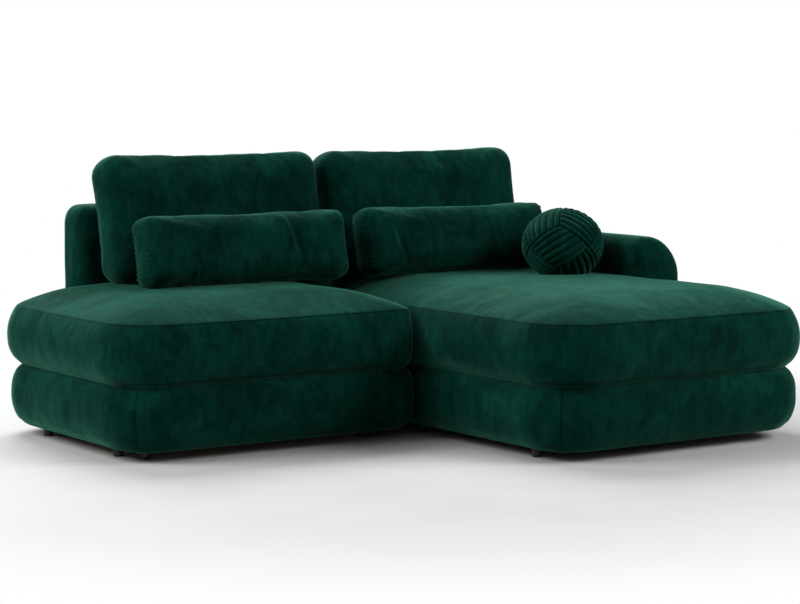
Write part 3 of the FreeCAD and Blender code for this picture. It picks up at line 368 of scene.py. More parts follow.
def seat_form(rect, radii, nx, ny, plain_right=False):
    """The sewn form of a seat cushion before it is blown up."""
    form = Form()
    places, depth = face_grid(rect, radii, nx, ny)
    rise = CROWN * (1 - (1 - np.clip(depth / CROWN_RUN, 0, 1)) ** 3)
    top = np.concatenate([places, (SEAT_SEAM + rise)[..., None]], axis=2)
    # painted shade along the rim of the top
    shade_mark = TOP_RIM_SHADE * np.clip(1 - depth / TOP_RIM_SHADE_RUN, 0, 1)
    hold = np.where(depth < HELD_RIM, 1.0, 0.0)
    numbers = np.array(form.add(top.reshape(-1, 3), shade_mark.ravel(), hold.ravel())).reshape(nx + 1, ny + 1)
    form.grid(numbers.tolist())
    upper = [int(numbers[i, j]) for i, j in ring_index(nx, ny)]
    ring, normals = outline_ring(rect, radii, nx, ny)
    for level in SEAT_LEVELS:
        sewn = level in (UPPER_SEAM, LOWER_SEAM)
        inset = float(smooth_curve(SEAT_SIDE, [level])[0]) + SEAM_DRAW * sewn
        offset = -inset * normals
        if plain_right and inset < 0:
            offset[normals[:, 0] > 0, 0] = 0
        z = SEAT_FOOT + level * (SEAT_SEAM - SEAT_FOOT)
        held = 1.0 if level <= LOWER_SEAM or level > HELD_ABOVE else 0.0
        spots = np.column_stack([ring + offset, np.full(len(ring), z)])
        # the rows at the two sewn seams get full painted shade
        row = form.add(spots, 1.0 * sewn, held)
        form.bridge(row, upper)
        upper = row
    return form


def cut_corner(piece, x, y):
    """Takes away all that lies past both upright planes, and closes the two walls."""
    work = bmesh.new()
    work.from_mesh(piece.data)
    for spot, facing in (((x, 0, 0), (1, 0, 0)), ((0, y, 0), (0, 1, 0))):
        everything = work.verts[:] + work.edges[:] + work.faces[:]
        bmesh.ops.bisect_plane(work, geom=everything, plane_co=spot, plane_no=facing, dist=CUT_REACH)
    middles = [(face, face.calc_center_median()) for face in work.faces]
    past = [face for face, middle in middles if middle.x > x and middle.y > y]
    bmesh.ops.delete(work, geom=past, context="FACES")
    rim = [edge for edge in work.edges if edge.is_boundary]
    ends = {vert for edge in rim for vert in edge.verts}
    inner = [vert for vert in ends if abs(vert.co.x - x) < PLANE_REACH and abs(vert.co.y - y) < PLANE_REACH]
    post = [work.edges.new(inner)] if len(inner) == 2 else []
    for axis, value in ((0, x), (1, y)):
        wall = [edge for edge in rim if all(abs(vert.co[axis] - value) < PLANE_REACH for vert in edge.verts)]
        if wall:
            bmesh.ops.triangle_fill(work, edges=wall + post, use_beauty=False)
    bmesh.ops.recalc_face_normals(work, faces=work.faces)
    work.to_mesh(piece.data)
    work.free()


def dent(piece, middle, level, upright, edge=0.006):
    """Presses a seat's top in where a ball lies on it; edge is how softly the dent begins."""
    points = coordinates(piece)
    reach = np.sum((points[:, :2] - middle[:2]) ** 2, axis=1) / level**2
    height = points[:, 2]
    under = middle[2] - upright * np.sqrt(np.clip(1 - reach, 0, 1))
    mix = np.clip(0.5 + 0.5 * (under - height) / edge, 0, 1)
    pressed = under * (1 - mix) + height * mix - edge * mix * (1 - mix)
    points[:, 2] = np.where((reach < 1) & (height > SEAT_SEAM), pressed, height)
    place(piece, points)


def make_seat(name, rect, radii, nx, ny, nodes, notches, inner_side, seed, plain_right=False):
    """A seat cushion; inner_side picks the points facing the other seat, which the cloth can't move."""
    form = seat_form(rect, radii, nx, ny, plain_right)
    piece = form.build(name)
    points = coordinates(piece)
    free = np.clip((points[:, 2] - SEAT_FOOT - FIRM_FOOT) / FIRM_FOOT, 0, 1)
    make_uneven(piece, points, free, *SEAT_UNEVEN, seed)
    hold = np.array(form.hold)
    hold[inner_side(points)] = 1.0
    inflate(piece, hold, slack=0.002, cap=0.006)
    finish_surface(piece)
    for x, y in notches:
        cut_corner(piece, x, y)
    return soft(piece, "sofa_frame", nodes)


# clearances round the back and the arm, and of the dent round the ball
NOTCH = 0.003
DENT_WIDER, DENT_DEEPER = 0.003, 0.0005
# how far in from its inner side a seat is held, and where the chaise's inner side begins
INNER_HELD, INNER_FRONT = 0.012, -0.13
back_notch = (BACK_LEFT - NOTCH, BACK_FRONT - NOTCH)
arm_notch = (ARM_INNER - NOTCH, ARM_FRONT - NOTCH)
make_seat("left_seat_cushion", LEFT_SEAT, LEFT_RADII, 80, 72,
          ["left_seat_cover", "left_seat_foam"], [back_notch],
          lambda p: p[:, 0] > LEFT_SEAT[1] - INNER_HELD, seed=3.1, plain_right=True)
chaise_seat = make_seat("chaise_seat_cushion", CHAISE_SEAT, CHAISE_RADII, 80, 126,
                        ["chaise_seat_cover", "chaise_seat_foam"], [back_notch, arm_notch],
                        lambda p: (p[:, 0] < CHAISE_SEAT[0] + INNER_HELD) & (p[:, 1] > INNER_FRONT),
                        seed=7.7)
dent(chaise_seat, middle_of("ball_cushion_cover"), BALL_LEVEL + DENT_WIDER, BALL_UPRIGHT + DENT_DEEPER)

# %% [markdown]
# ## Padded bases
# Each base is wrapped in strips that meet at sewn corner seams. The strip in front of the left base belongs
# to the pull-out bed.

# %% Padded bases
PAD, SEAM_GAP = 0.058, 0.0003
LIP_INSET, LIP_TOP = 0.024, 0.2238
BASE_CLEAR = 0.0005
STRIP_ENDS = np.array([0.0, 0.004, 0.010, 0.020, 0.035])
STRIP_MIDDLE = (0.05, 0.95)
STRIP_LEVELS = [0.0, 0.02, 0.05, 0.08, 0.10, 0.13, 0.18, 0.25, 0.33, 0.42, 0.5, 0.58, 0.66, 0.74, 0.81,
                0.88, 0.93, 0.965, 0.985, 1.0]
# the corner seams draw in by a depth over a run, and get painted shade over a run of their own
CORNER_DRAW, CORNER_DRAW_RUN, CORNER_SHADE_RUN = 0.0025, 0.005, 0.006
# the hem near the foot: its depth, its level and its half width, and the levels that get painted shade in its
# groove
HEM_DRAW, HEM_LEVEL, HEM_WIDE = 0.0035, 0.09, 0.015
HEM_SHADED = (0.06, 0.11)
# strength of the painted shade in the corner seams and in the hem groove
STRIP_SHADE = 0.5
STRIP_UNEVEN = (0.004, 0.13)
SEAM_FIRM = 0.03


def base_strip(name, rect, radii, side, nodes, body, seed, plain_right=False, columns=90):
    """One padded strip: an outer skin between its two corner seams and a flat back against the timber.

    A strip with a plain right end doesn't swell past its rectangle on that side.
    """
    form = Form()
    middle = np.linspace(*STRIP_MIDDLE, columns)
    spots = np.concatenate([STRIP_ENDS, middle, 1 - STRIP_ENDS[::-1]])
    spots = SEAM_GAP + spots * (1 - 2 * SEAM_GAP)
    ring, normals = outline_side(rect, radii, side, spots)
    run = np.concatenate([[0], np.cumsum(np.linalg.norm(np.diff(ring, axis=0), axis=1))])
    edge = np.minimum(run, run[-1] - run)
    draw = CORNER_DRAW * np.exp(-(edge / CORNER_DRAW_RUN) ** 2)
    # painted shade in the corner seams
    crease = STRIP_SHADE * np.clip(1 - edge / CORNER_SHADE_RUN, 0, 1)
    rows = []
    for level in STRIP_LEVELS:
        inset = float(smooth_curve(BASE_SIDE, [level])[0])
        hem = HEM_DRAW * math.exp(-((level - HEM_LEVEL) / HEM_WIDE) ** 2)
        offset = -(inset + hem + draw)[:, None] * normals
        if plain_right and inset < 0:
            offset[normals[:, 0] > 0, 0] = 0
        z = BASE_FOOT + BASE_CLEAR + level * (BASE_TOP - BASE_FOOT - 2 * BASE_CLEAR)
        # painted shade in the corner seams and in the hem groove
        shade_mark = np.maximum(crease, STRIP_SHADE if HEM_SHADED[0] < level < HEM_SHADED[1] else 0.0)
        rows.append(form.add(np.column_stack([ring + offset, np.full(len(ring), z)]), shade_mark))
    for low, high in zip(rows, rows[1:]):
        form.bridge(low, high, closed=False)
    rim = rect[(2, 1, 3, 0)[side]]
    sign = (-1, 1, 1, -1)[side]
    axis, lateral = (1, 0) if side % 2 == 0 else (0, 1)
    flat = ring.copy()
    flat[:, axis] = rim - sign * PAD
    first, last = rect[2 * lateral:2 * lateral + 2]
    end = ring[:, lateral].max() if plain_right else last - PAD
    flat[:, lateral] = np.clip(flat[:, lateral], first + PAD, end)
    lip = form.add(np.column_stack([ring - LIP_INSET * normals, np.full(len(ring), LIP_TOP)]))
    inner_low = form.add(np.column_stack([flat, np.full(len(ring), BASE_FOOT + BASE_CLEAR)]))
    inner_high = form.add(np.column_stack([flat, np.full(len(ring), LIP_TOP)]))
    form.bridge(inner_low, rows[0], closed=False)
    form.bridge(rows[-1], lip, closed=False)
    form.bridge(lip, inner_high, closed=False)
    form.bridge(inner_high, inner_low, closed=False)
    form.faces.append((inner_low[0], *[row[0] for row in rows], lip[0], inner_high[0]))
    form.faces.append((inner_high[-1], lip[-1], *[row[-1] for row in reversed(rows)], inner_low[-1]))
    piece = form.build(name)
    points = coordinates(piece)
    skin = np.zeros(len(points))
    for row, level in zip(rows, STRIP_LEVELS):
        skin[row] = min(1.0, 4 * level * (1 - level)) * np.clip(edge / SEAM_FIRM, 0, 1)
    make_uneven(piece, points, skin, *STRIP_UNEVEN, seed)
    crease_caps(piece)
    finish_surface(piece)
    soft(piece, body, nodes)


FRONT, RIGHT, REAR, LEFT = range(4)
base_strip("pullout_front", LEFT_BASE, LEFT_RADII, FRONT, ["pullout_front_pad"], "pullout_bed", seed=1.7,
           plain_right=True)
base_strip("left_base_side", LEFT_BASE, LEFT_RADII, LEFT, ["left_base_side_pad"], "sofa_frame", seed=2.9)
base_strip("left_base_rear", LEFT_BASE, LEFT_RADII, REAR, ["left_base_rear_pad"], "sofa_frame", seed=3.3,
           plain_right=True)
CHAISE_STRIPS = [(FRONT, "front", 90, 4.1), (RIGHT, "right", 130, 5.3), (REAR, "rear", 90, 6.7),
                 (LEFT, "left", 130, 7.9)]
for side, word, columns, seed in CHAISE_STRIPS:
    base_strip(f"chaise_base_{word}", CHAISE_SEAT, CHAISE_RADII, side, [f"chaise_base_{word}_pad"],
               "sofa_frame", seed, columns=columns)

# %% [markdown]
# ## Back and arm
# Firm upholstered blocks: one rounded section drawn along the piece, closed by rounded ends.

# %% Back and arm
AROUND_CELLS = (20, 36)
LENGTH_STEPS, END_STEPS = 70, 8
CAP_SHARES = [0.86, 0.7, 0.5, 0.3, 0.12]
# near a rounded end the corner radii shrink by this share of the inset, down to a least radius
END_SHRINK, LEAST_RADIUS = 0.4, 0.004
BLOCK_UNEVEN = (0.002, 0.15)
BLOCK_FIRM_FOOT = 0.05


def block(name, section, radii, along, start, end, round_start, round_end, nodes, seed):
    """A firm block; section is (low, high, bottom, top) across the axis 'x' or 'y' that it is drawn along."""
    form = Form()

    def end_rows(radius):
        """Places and insets of the rows that round an end off."""
        turns = np.linspace(0, math.pi / 2, END_STEPS)
        return [(radius * (1 - math.sin(t)), radius * (1 - math.cos(t))) for t in turns[::-1]]

    straight = np.linspace(start + round_start, end - round_end, LENGTH_STEPS)[1:-1]
    rows = [(start + in_by, inset) for in_by, inset in end_rows(round_start)]
    rows += [(where, 0.0) for where in straight]
    rows += [(end - in_by, inset) for in_by, inset in reversed(end_rows(round_end))]

    def spots(place_along, inset, shrink=1.0):
        """One row of points round the block."""
        low, high, bottom, top = section
        rect = (low + inset, high - inset, bottom, top - inset)
        turned = [max(radius - END_SHRINK * inset, LEAST_RADIUS) for radius in radii]
        ring, _ = outline_ring(rect, turned, *AROUND_CELLS)
        if shrink < 1:
            middle = np.array([(rect[0] + rect[1]) / 2, (rect[2] + rect[3]) / 2])
            ring = middle + shrink * (ring - middle)
        fixed = np.full(len(ring), place_along)
        if along == "x":
            return np.column_stack([fixed, ring[:, 0], ring[:, 1]])
        return np.column_stack([ring[:, 0], fixed, ring[:, 1]])

    body_rows = [form.add(spots(where, inset)) for where, inset in rows]
    first = [form.add(spots(*rows[0], share)) for share in reversed(CAP_SHARES)]
    last = [form.add(spots(*rows[-1], share)) for share in CAP_SHARES]
    chain = first + body_rows + last
    for low, high in zip(chain, chain[1:]):
        if along == "x":
            form.bridge(low, high)
        else:
            form.bridge(high, low)
    piece = form.build(name)
    points = coordinates(piece)
    skin = np.clip((points[:, 2] - section[2]) / BLOCK_FIRM_FOOT, 0, 1)
    make_uneven(piece, points, skin, *BLOCK_UNEVEN, seed)
    finish_surface(piece)
    soft(piece, "sofa_frame", nodes)


BACK_SECTION = (0.6485, 0.7965, 0.2225, 0.7225)
ARM_SECTION = (0.831, 1.019, 0.2225, 0.6065)
INNER_SECTION = (-0.0725, -0.0135, 0.0305, 0.2215)
BACK_CORNERS = [0.006, 0.006, 0.048, 0.048]
block("left_back", BACK_SECTION, BACK_CORNERS, "x", start=-0.805, end=0.009, round_start=0.05,
      round_end=0.01, nodes=["left_back_cover"], seed=1.1)
block("right_back", BACK_SECTION, BACK_CORNERS, "x", start=0.0105, end=0.829, round_start=0.01,
      round_end=0.01, nodes=["right_back_cover"], seed=2.3)
block("left_base_inner", INNER_SECTION, [0.006] * 4, "y", start=-0.0195, end=0.7365, round_start=0.006,
      round_end=0.006, nodes=["left_base_inner_pad"], seed=0.9)
block("arm", ARM_SECTION, [0.006, 0.006, 0.140, 0.034], "y", start=-0.1795, end=0.7965, round_start=0.034,
      round_end=0.034, nodes=["arm_cover"], seed=3.7)

# %% [markdown]
# ## Back cushions
# Two rounded faces sewn to a band between them. Their edges draw in between the corners.

# %% Back cushions
BAND_SHARES = (-0.985, -0.945, -0.90, -0.5, 0.0, 0.5, 0.90, 0.945, 0.985)
SEWN_SHARE, SEAM_PINCH, BAND_SWELL, BAND_GATHER = 0.945, 0.0022, 0.006, 0.9
# how full the crown of a face is
CROWN_FULL, CROWN_SOFT = 2.5, 0.7
# gathers run at a slant, sway in a slow wave, grow towards the ends and fade away from the seam
GATHER_SLANT, GATHER_SWAY, GATHER_WAVE, GATHER_FADE = 1.37, 2.0, 0.07, 0.024
GATHER_FROM, GATHER_SPAN, GATHER_LEAST = 0.88, 0.1, 0.12
FOLD_FADE = 0.02
PILLOW_UNEVEN = (0.003, 0.14)


def leaned(points, middle):
    """Points of an upright cushion (across, thickness, up), leaned back about the middle."""
    x, t, w = points[:, 0], points[:, 1], points[:, 2]
    return np.column_stack([middle[0] + x, middle[1] + t * math.cos(LEAN) + w * math.sin(LEAN),
                            middle[2] - t * math.sin(LEAN) + w * math.cos(LEAN)])


def pillow(body, width, height, radius, pull, band, crown, run, cells, pucker, folds, slack, cap, seed):
    """A sewn pillow; pucker is the depth and pitch of the gathers at its seams, folds are drag creases."""
    rect = (-width / 2, width / 2, -height / 2, height / 2)
    nx, ny = cells
    places, depth = face_grid(rect, [radius] * 4, nx, ny)
    ring, normals = outline_ring(rect, [radius] * 4, nx, ny)

    def pulled(flat):
        """Draws the edges in between the corners."""
        across, up = 2 * flat[..., 0] / width, 2 * flat[..., 1] / height
        out = flat.copy()
        out[..., 0] -= pull * across**3 * (1 - up**2)
        out[..., 1] -= pull * up**3 * (1 - across**2)
        return out

    def gathers(flat):
        """Waves along the seams, from -1 to 1."""
        run_along = flat[..., 0] + GATHER_SLANT * flat[..., 1]
        ends = np.clip((2 * np.abs(flat[..., 0]) / width - GATHER_FROM) / GATHER_SPAN, GATHER_LEAST, 1)
        sway = GATHER_SWAY * np.sin(run_along / GATHER_WAVE + seed)
        return ends * np.cos(2 * math.pi * run_along / pucker[1] + sway)

    flat = pulled(places)
    rise = crown * (1 - (1 - np.clip(depth / run, 0, 1)) ** CROWN_FULL) ** CROWN_SOFT
    rise += pucker[0] * gathers(flat) * np.exp(-depth / GATHER_FADE)
    hold = np.where(depth < HELD_RIM, 1.0, 0.0)
    form = Form()
    rims = []
    for sign in (-1, 1):
        crease = np.zeros_like(rise)
        for across, up, slant, high, wide, long in folds if sign < 0 else []:
            off = flat[..., 0] - across - slant * (flat[..., 1] - up)
            crease += high * np.exp(-(off / wide) ** 2) * np.exp(-((flat[..., 1] - up) / long) ** 2)
        deep = sign * (band + rise + crease * np.clip(depth / FOLD_FADE, 0, 1))
        face = np.column_stack([flat[..., 0].ravel(), deep.ravel(), flat[..., 1].ravel()])
        numbers = np.array(form.add(face, 0.0, hold.ravel())).reshape(nx + 1, ny + 1)
        form.grid(numbers.tolist(), flip=sign > 0)
        rims.append([int(numbers[i, j]) for i, j in ring_index(nx, ny)])
    edge = pulled(ring)
    rows = [rims[0]]
    for share in BAND_SHARES:
        sewn = 1.0 if abs(share) == SEWN_SHARE else 0.0
        gathered = BAND_GATHER * pucker[0] * gathers(edge) * abs(share) ** 3
        swell = BAND_SWELL * (1 - share**2) + gathered - SEAM_PINCH * sewn
        spot = edge + swell[:, None] * normals
        deep = np.full(len(spot), share * band)
        # the sewn rows get painted shade and are pinned
        rows.append(form.add(np.column_stack([spot[:, 0], deep, spot[:, 1]]), sewn, sewn))
    rows.append(rims[1])
    for front, rear in zip(rows, rows[1:]):
        form.bridge(rear, front)
    points = leaned(np.array(form.points), middle_of(f"{body}_cover"))
    form.points = points.tolist()
    piece = form.build(body)
    hold = np.array(form.hold)
    make_uneven(piece, points, 1 - hold, *PILLOW_UNEVEN, seed)
    inflate(piece, hold, slack=slack, cap=cap)
    finish_surface(piece)
    soft(piece, body, [f"{body}_cover", f"{body}_core"])


for side, seed in (("left", 11.3), ("right", 17.9)):
    pillow(f"{side}_back_cushion", width=0.790, height=0.405, radius=0.066, pull=0.009, band=0.046,
           crown=0.038, run=0.125, cells=(88, 48), pucker=(0.0006, 0.03), folds=[], slack=0.008, cap=0.006,
           seed=seed)

# %% [markdown]
# ## Lumbar cushions
# Smaller pillows of the same make. Their seams are gathered, and the cloth pulls into slanting folds.

# %% Lumbar cushions
# each fold: place across and up, slant, height, half width and half length
FOLDS = {"left": [(0.135, 0.02, -0.30, 0.010, 0.010, 0.075), (0.160, -0.01, -0.22, -0.010, 0.012, 0.07),
                  (0.195, -0.02, 0.28, 0.010, 0.010, 0.06), (0.225, 0.03, 0.45, 0.009, 0.009, 0.05),
                  (-0.215, -0.085, 0.10, 0.008, 0.008, 0.03)],
         "right": [(-0.290, 0.02, -0.35, 0.010, 0.010, 0.06), (-0.255, -0.02, -0.25, -0.009, 0.011, 0.06),
                   (0.180, -0.03, 0.30, 0.008, 0.010, 0.06)]}
for side, seed in (("left", 2.4), ("right", 5.8)):
    pillow(f"{side}_lumbar_cushion", width=0.732, height=0.214, radius=0.034, pull=0.006, band=0.046,
           crown=0.032, run=0.085, cells=(96, 34), pucker=(0.0060, 0.022), folds=FOLDS[side], slack=0.012,
           cap=0.005, seed=seed)

# %% [markdown]
# ## Ball cushion
# Twelve diamond patches of parallel pleats. Where patches meet, the pleats turn like a weave.

# %% Ball cushion
PLEAT_DEPTH, PLEATS, PATCH_CELLS = 0.0085, 6, 54
PLEAT_ROUND = 0.62
# share of a patch over which its pleats run out at the rim
RIM_RUN = 0.06
# painted shade in the pleat valleys and along the patch seams, and how fast it fades towards the crests
PLEAT_SHADE, PLEAT_SHADE_FADE = 0.8, 1.8
WELD = 0.0002


def ball_cushion():
    """The pleated ball, with one patch for each face of a rhombic dodecahedron."""
    middle = middle_of("ball_cushion_cover")
    steps = np.linspace(0, 1, PATCH_CELLS + 1)
    form = Form()
    patches = [(first, s, t) for first in range(3) for s in (-1, 1) for t in (-1, 1)]
    for first, s, t in patches:
        start, end, up = np.zeros(3), np.zeros(3), np.zeros(3)
        start[first], end[(first + 1) % 3], up[(first + 2) % 3] = s, t, 1.0
        middle_edge = (start + end) / 2 - start
        across, along = middle_edge - s * t * up / 2, middle_edge + s * t * up / 2
        points, shade_marks = [], []
        for u in steps:
            for v in steps:
                ray = start + u * across + v * along
                ray = ray / np.linalg.norm(ray)
                fold = abs(math.sin(math.pi * u * PLEATS)) ** PLEAT_ROUND
                rim = min(1.0, min(u, 1 - u, v, 1 - v) / RIM_RUN)
                radius = BALL_LEVEL + PLEAT_DEPTH * (fold * rim * (2 - rim) - 1)
                points.append(middle + ray * radius * np.array([1, 1, BALL_UPRIGHT / BALL_LEVEL]))
                # painted shade: full in the pleat valleys and along the patch seams, none on the pleat crests
                shade_marks.append(max(0.0, PLEAT_SHADE - PLEAT_SHADE_FADE * fold * rim))
        numbers = np.array(form.add(points, shade_marks)).reshape(PATCH_CELLS + 1, PATCH_CELLS + 1)
        form.grid(numbers.tolist())
    piece = form.build("ball_cushion")
    work = bmesh.new()
    work.from_mesh(piece.data)
    bmesh.ops.remove_doubles(work, verts=work.verts, dist=WELD)
    bmesh.ops.recalc_face_normals(work, faces=work.faces)
    work.to_mesh(piece.data)
    work.free()
    soft(piece, "ball_cushion", ["ball_cushion_cover", "ball_cushion_core"])


ball_cushion()

# %% [markdown]
# ## Materials
# Velvet is dark where it is looked at square on and pale where its pile catches the light. The pile lies in
# patches and brush strokes. Seams and pleat valleys are darkened with painted shade. Timber, steel, plastic
# and foam have their own grain.

# %% Materials
VELVET_BODY = [(0.36, (0.0004, 0.015, 0.0106)), (0.50, (0.0008, 0.026, 0.0184)),
               (0.64, (0.0018, 0.042, 0.0290))]
VELVET_SHEEN = [(0.38, (0.11, 0.46, 0.33)), (0.62, (0.165, 0.56, 0.41))]
# colour of the painted shade in seams and pleat valleys
VELVET_SHADE = (0.0004, 0.005, 0.0038)
PILE_TONES = [(0.3, (0.25, 0.25, 0.25)), (0.7, (1.0, 1.0, 1.0))]
# the second of these is how strongly the painted shade darkens the nap
PILE_SHARE, SHADE_SHARE = 0.35, 0.85


class Nodes:
    """Short ways to add and join shader nodes of one material."""

    def __init__(self, name):
        self.material = bpy.data.materials.new(name)
        self.material.use_nodes = True
        self.tree = self.material.node_tree
        self.shader = self.tree.nodes["Principled BSDF"]
        self.place = self.add("ShaderNodeTexCoord").outputs["Object"]

    def add(self, kind, **values):
        node = self.tree.nodes.new(kind)
        for name, value in values.items():
            setattr(node, name, value)
        return node

    def link(self, source, target):
        self.tree.links.new(source, target)

    def mapped(self, scale):
        node = self.add("ShaderNodeMapping")
        node.inputs["Scale"].default_value = scale
        self.link(self.place, node.inputs["Vector"])
        return node.outputs["Vector"]

    def noise(self, scale, detail=3.0, stretch=(1, 1, 1), distortion=0.0):
        node = self.add("ShaderNodeTexNoise")
        node.inputs["Scale"].default_value = scale
        node.inputs["Detail"].default_value = detail
        node.inputs["Distortion"].default_value = distortion
        self.link(self.mapped(stretch), node.inputs["Vector"])
        return node.outputs["Fac"]

    def ramp(self, source, stops):
        node = self.add("ShaderNodeValToRGB")
        ramp = node.color_ramp
        while len(ramp.elements) < len(stops):
            ramp.elements.new(0.5)
        for element, (spot, colour) in zip(ramp.elements, stops):
            element.position = spot
            element.color = (*colour, 1)
        self.link(source, node.inputs["Fac"])
        return node.outputs["Color"]

    def mix(self, share, first, second, blend="MIX"):
        node = self.add("ShaderNodeMix", data_type="RGBA", blend_type=blend)
        for socket, value in ((node.inputs[0], share), (node.inputs[6], first), (node.inputs[7], second)):
            if hasattr(value, "is_linked"):
                self.link(value, socket)
            else:
                socket.default_value = value if isinstance(value, float) else (*value, 1)
        return node.outputs[2]

    def math(self, operation, first, second):
        node = self.add("ShaderNodeMath", operation=operation)
        for socket, value in zip(node.inputs, (first, second)):
            if hasattr(value, "is_linked"):
                self.link(value, socket)
            else:
                socket.default_value = value
        return node.outputs[0]

    def bump(self, source, strength, distance):
        node = self.add("ShaderNodeBump")
        node.inputs["Strength"].default_value = strength
        node.inputs["Distance"].default_value = distance
        self.link(source, node.inputs["Height"])
        self.link(node.outputs["Normal"], self.shader.inputs["Normal"])

    def set(self, **values):
        for name, value in values.items():
            self.shader.inputs[name.replace("_", " ")].default_value = value


def velvet():
    make = Nodes("velvet")
    patches = make.noise(6.0, 4.0, distortion=0.8)
    strokes = make.noise(30.0, 4.0, stretch=(1.0, 1.0, 0.5), distortion=1.0)
    pile = make.noise(520.0, 2.0)
    nap = make.math("ADD", make.math("MULTIPLY", patches, 0.5), make.math("MULTIPLY", strokes, 0.5))
    body = make.ramp(nap, VELVET_BODY)
    flecked = make.mix(PILE_SHARE, body, make.ramp(pile, PILE_TONES), "MULTIPLY")
    # the shade marks of the mesh darken the nap with painted shade in seams and pleat valleys
    seam = make.add("ShaderNodeAttribute", attribute_name="seam").outputs["Fac"]
    sewn = make.mix(make.math("MULTIPLY", seam, SHADE_SHARE), flecked, VELVET_SHADE)
    make.link(sewn, make.shader.inputs["Base Color"])
    make.link(make.ramp(nap, VELVET_SHEEN), make.shader.inputs["Sheen Tint"])
    make.set(Roughness=0.85, Sheen_Weight=0.55, Sheen_Roughness=0.35, Specular_IOR_Level=0.02)
    make.bump(pile, 0.25, 0.0006)
    return make.material


def timber(name, light, dark, along):
    make = Nodes(name)
    stretch = {"x": (0.08, 1, 1), "y": (1, 0.08, 1), "z": (1, 1, 0.08)}[along]
    grain = make.noise(60.0, 5.0, stretch=stretch, distortion=0.8)
    make.link(make.ramp(grain, [(0.32, dark), (0.68, light)]), make.shader.inputs["Base Color"])
    make.set(Roughness=0.6)
    make.bump(grain, 0.15, 0.0006)
    return make.material


def plain(name, light, dark, scale, roughness, metallic=0.0, stretch=(1, 1, 1), relief=0.1):
    make = Nodes(name)
    spots = make.noise(scale, 3.0, stretch=stretch)
    make.link(make.ramp(spots, [(0.35, dark), (0.65, light)]), make.shader.inputs["Base Color"])
    make.set(Roughness=roughness, Metallic=metallic)
    make.bump(spots, relief, 0.0004)
    return make.material


materials = {
    "velvet": velvet(),
    "foam": plain("foam", (0.72, 0.66, 0.48), (0.58, 0.52, 0.36), scale=180.0, roughness=0.9, relief=0.3),
    "pine": timber("pine", (0.62, 0.43, 0.24), (0.44, 0.27, 0.13), "y"),
    "plywood": timber("plywood", (0.52, 0.36, 0.20), (0.40, 0.26, 0.14), "x"),
    "birch": timber("birch", (0.70, 0.53, 0.33), (0.56, 0.39, 0.22), "x"),
    "zinc_steel": plain("zinc_steel", (0.60, 0.61, 0.62), (0.46, 0.47, 0.49), scale=90.0, roughness=0.35,
                        metallic=1.0, stretch=(1, 0.1, 1), relief=0.05),
    "black_plastic": plain("black_plastic", (0.022, 0.022, 0.024), (0.012, 0.012, 0.013), scale=260.0,
                           roughness=0.55),
    "dust_cloth": plain("dust_cloth", (0.020, 0.020, 0.022), (0.008, 0.008, 0.009), scale=900.0,
                        roughness=0.95, relief=0.4),
}
slot_of = {entry["node"]: entry["material_slot"] for entry in frame["record"]["subparts"]}
for name, node in frame["nodes"].items():
    node.data.materials.clear()
    node.data.materials.append(materials[slot_of[name]])
for piece in soft_pieces:
    piece.data.materials.clear()
    piece.data.materials.append(materials["velvet"])
print("materials:", ", ".join(materials))

# %% [markdown]
# ## Stage, light and camera
# A pale floor that fades to white away from the sofa, soft light from the left, from above behind the sofa
# and from the front right, and the camera of the photograph.

# %% Stage, light and camera
FLOOR_REACH = 60.0
FLOOR_TONES = [(0.3, (0.55, 0.55, 0.55)), (0.7, (0.58, 0.58, 0.58))]
FADE_FROM, FADE_TO = 1.2, 2.5
# each light: name, place, target, width and power in watts
LIGHTS = [("key", (-4.2, 1.2, 3.2), (0.0, 0.0, 0.3), 3.0, 200),
          ("top", (0.4, 3.2, 3.8), (0.0, -0.1, 0.4), 3.4, 290),
          ("fill", (3.2, -3.6, 3.2), (0.2, 0.3, 0.6), 2.6, 180)]
ROOM_COLOUR, ROOM_STRENGTH = (0.95, 0.97, 1.0, 1), 0.22
FOCAL_MM, SENSOR_MM, SHIFT = 103.05, 36, -0.006
CAMERA_SPOT, CAMERA_TILT, CAMERA_TURN = (-4.081, -5.969, 1.119), 5.503, 34.442
scene = bpy.context.scene
scene.view_settings.view_transform = "Standard"

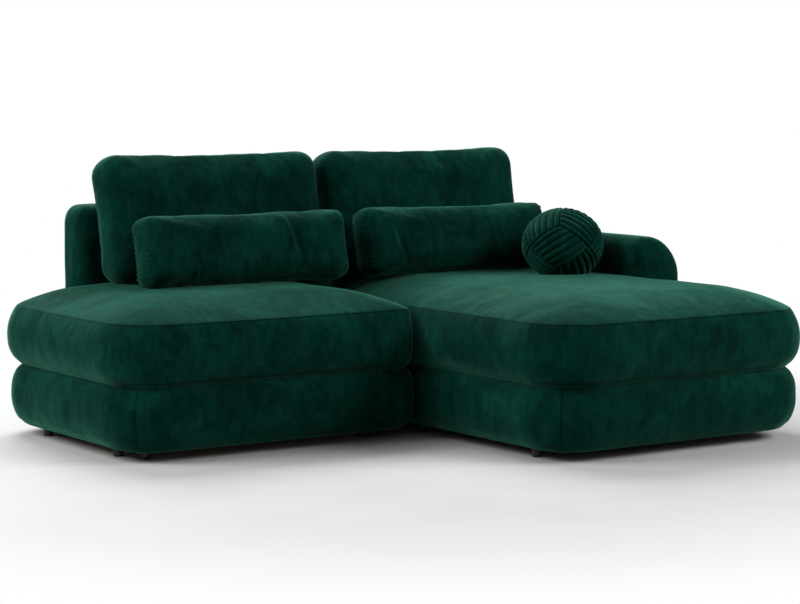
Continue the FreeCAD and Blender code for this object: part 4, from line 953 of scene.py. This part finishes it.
floor_mesh = bpy.data.meshes.new("floor")
corner_signs = [(-1, -1), (1, -1), (1, 1), (-1, 1)]
floor_mesh.from_pydata([(x * FLOOR_REACH, y * FLOOR_REACH, 0) for x, y in corner_signs], [], [(0, 1, 2, 3)])
floor = bpy.data.objects.new("floor", floor_mesh)
scene.collection.objects.link(floor)
pale = Nodes("pale_floor")
speck = pale.noise(3.0, 2.0)
pale.link(pale.ramp(speck, FLOOR_TONES), pale.shader.inputs["Base Color"])
pale.set(Roughness=0.8, Specular_IOR_Level=0.1)
far = pale.add("ShaderNodeVectorMath", operation="LENGTH")
pale.link(pale.place, far.inputs[0])
fade = pale.add("ShaderNodeMapRange", interpolation_type="SMOOTHSTEP")
fade.inputs["From Min"].default_value = FADE_FROM
fade.inputs["From Max"].default_value = FADE_TO
pale.link(far.outputs["Value"], fade.inputs["Value"])
eye = pale.add("ShaderNodeLightPath").outputs["Is Camera Ray"]
white = pale.add("ShaderNodeEmission")
white.inputs["Strength"].default_value = 1.0
blended = pale.add("ShaderNodeMixShader")
pale.link(pale.math("MULTIPLY", fade.outputs["Result"], eye), blended.inputs[0])
pale.link(pale.shader.outputs[0], blended.inputs[1])
pale.link(white.outputs[0], blended.inputs[2])
pale.link(blended.outputs[0], pale.tree.nodes["Material Output"].inputs["Surface"])
floor.data.materials.append(pale.material)


def area_light(name, spot, target, size, power):
    light = bpy.data.lights.new(name, "AREA")
    light.shape = "SQUARE"
    light.size = size
    light.energy = power
    lamp = bpy.data.objects.new(name, light)
    lamp.location = spot
    lamp.rotation_euler = (Vector(target) - Vector(spot)).to_track_quat("-Z", "Y").to_euler()
    scene.collection.objects.link(lamp)


for light_row in LIGHTS:
    area_light(*light_row)

world = bpy.data.worlds.new("studio")
scene.world = world
world.use_nodes = True
tree = world.node_tree
tree.nodes.clear()
rays = tree.nodes.new("ShaderNodeLightPath")
seen = tree.nodes.new("ShaderNodeBackground")
seen.inputs["Color"].default_value = (1, 1, 1, 1)
seen.inputs["Strength"].default_value = 1.0
around = tree.nodes.new("ShaderNodeBackground")
around.inputs["Color"].default_value = ROOM_COLOUR
around.inputs["Strength"].default_value = ROOM_STRENGTH
choice = tree.nodes.new("ShaderNodeMixShader")
output = tree.nodes.new("ShaderNodeOutputWorld")
tree.links.new(rays.outputs["Is Camera Ray"], choice.inputs[0])
tree.links.new(around.outputs[0], choice.inputs[1])
tree.links.new(seen.outputs[0], choice.inputs[2])
tree.links.new(choice.outputs[0], output.inputs["Surface"])

lens = bpy.data.cameras.new("camera")
lens.lens = FOCAL_MM
lens.sensor_width = SENSOR_MM
lens.shift_x = SHIFT
camera = bpy.data.objects.new("camera", lens)
camera.location = CAMERA_SPOT
camera.rotation_euler = (math.radians(90 - CAMERA_TILT), 0, math.radians(-CAMERA_TURN))
scene.collection.objects.link(camera)
scene.camera = camera
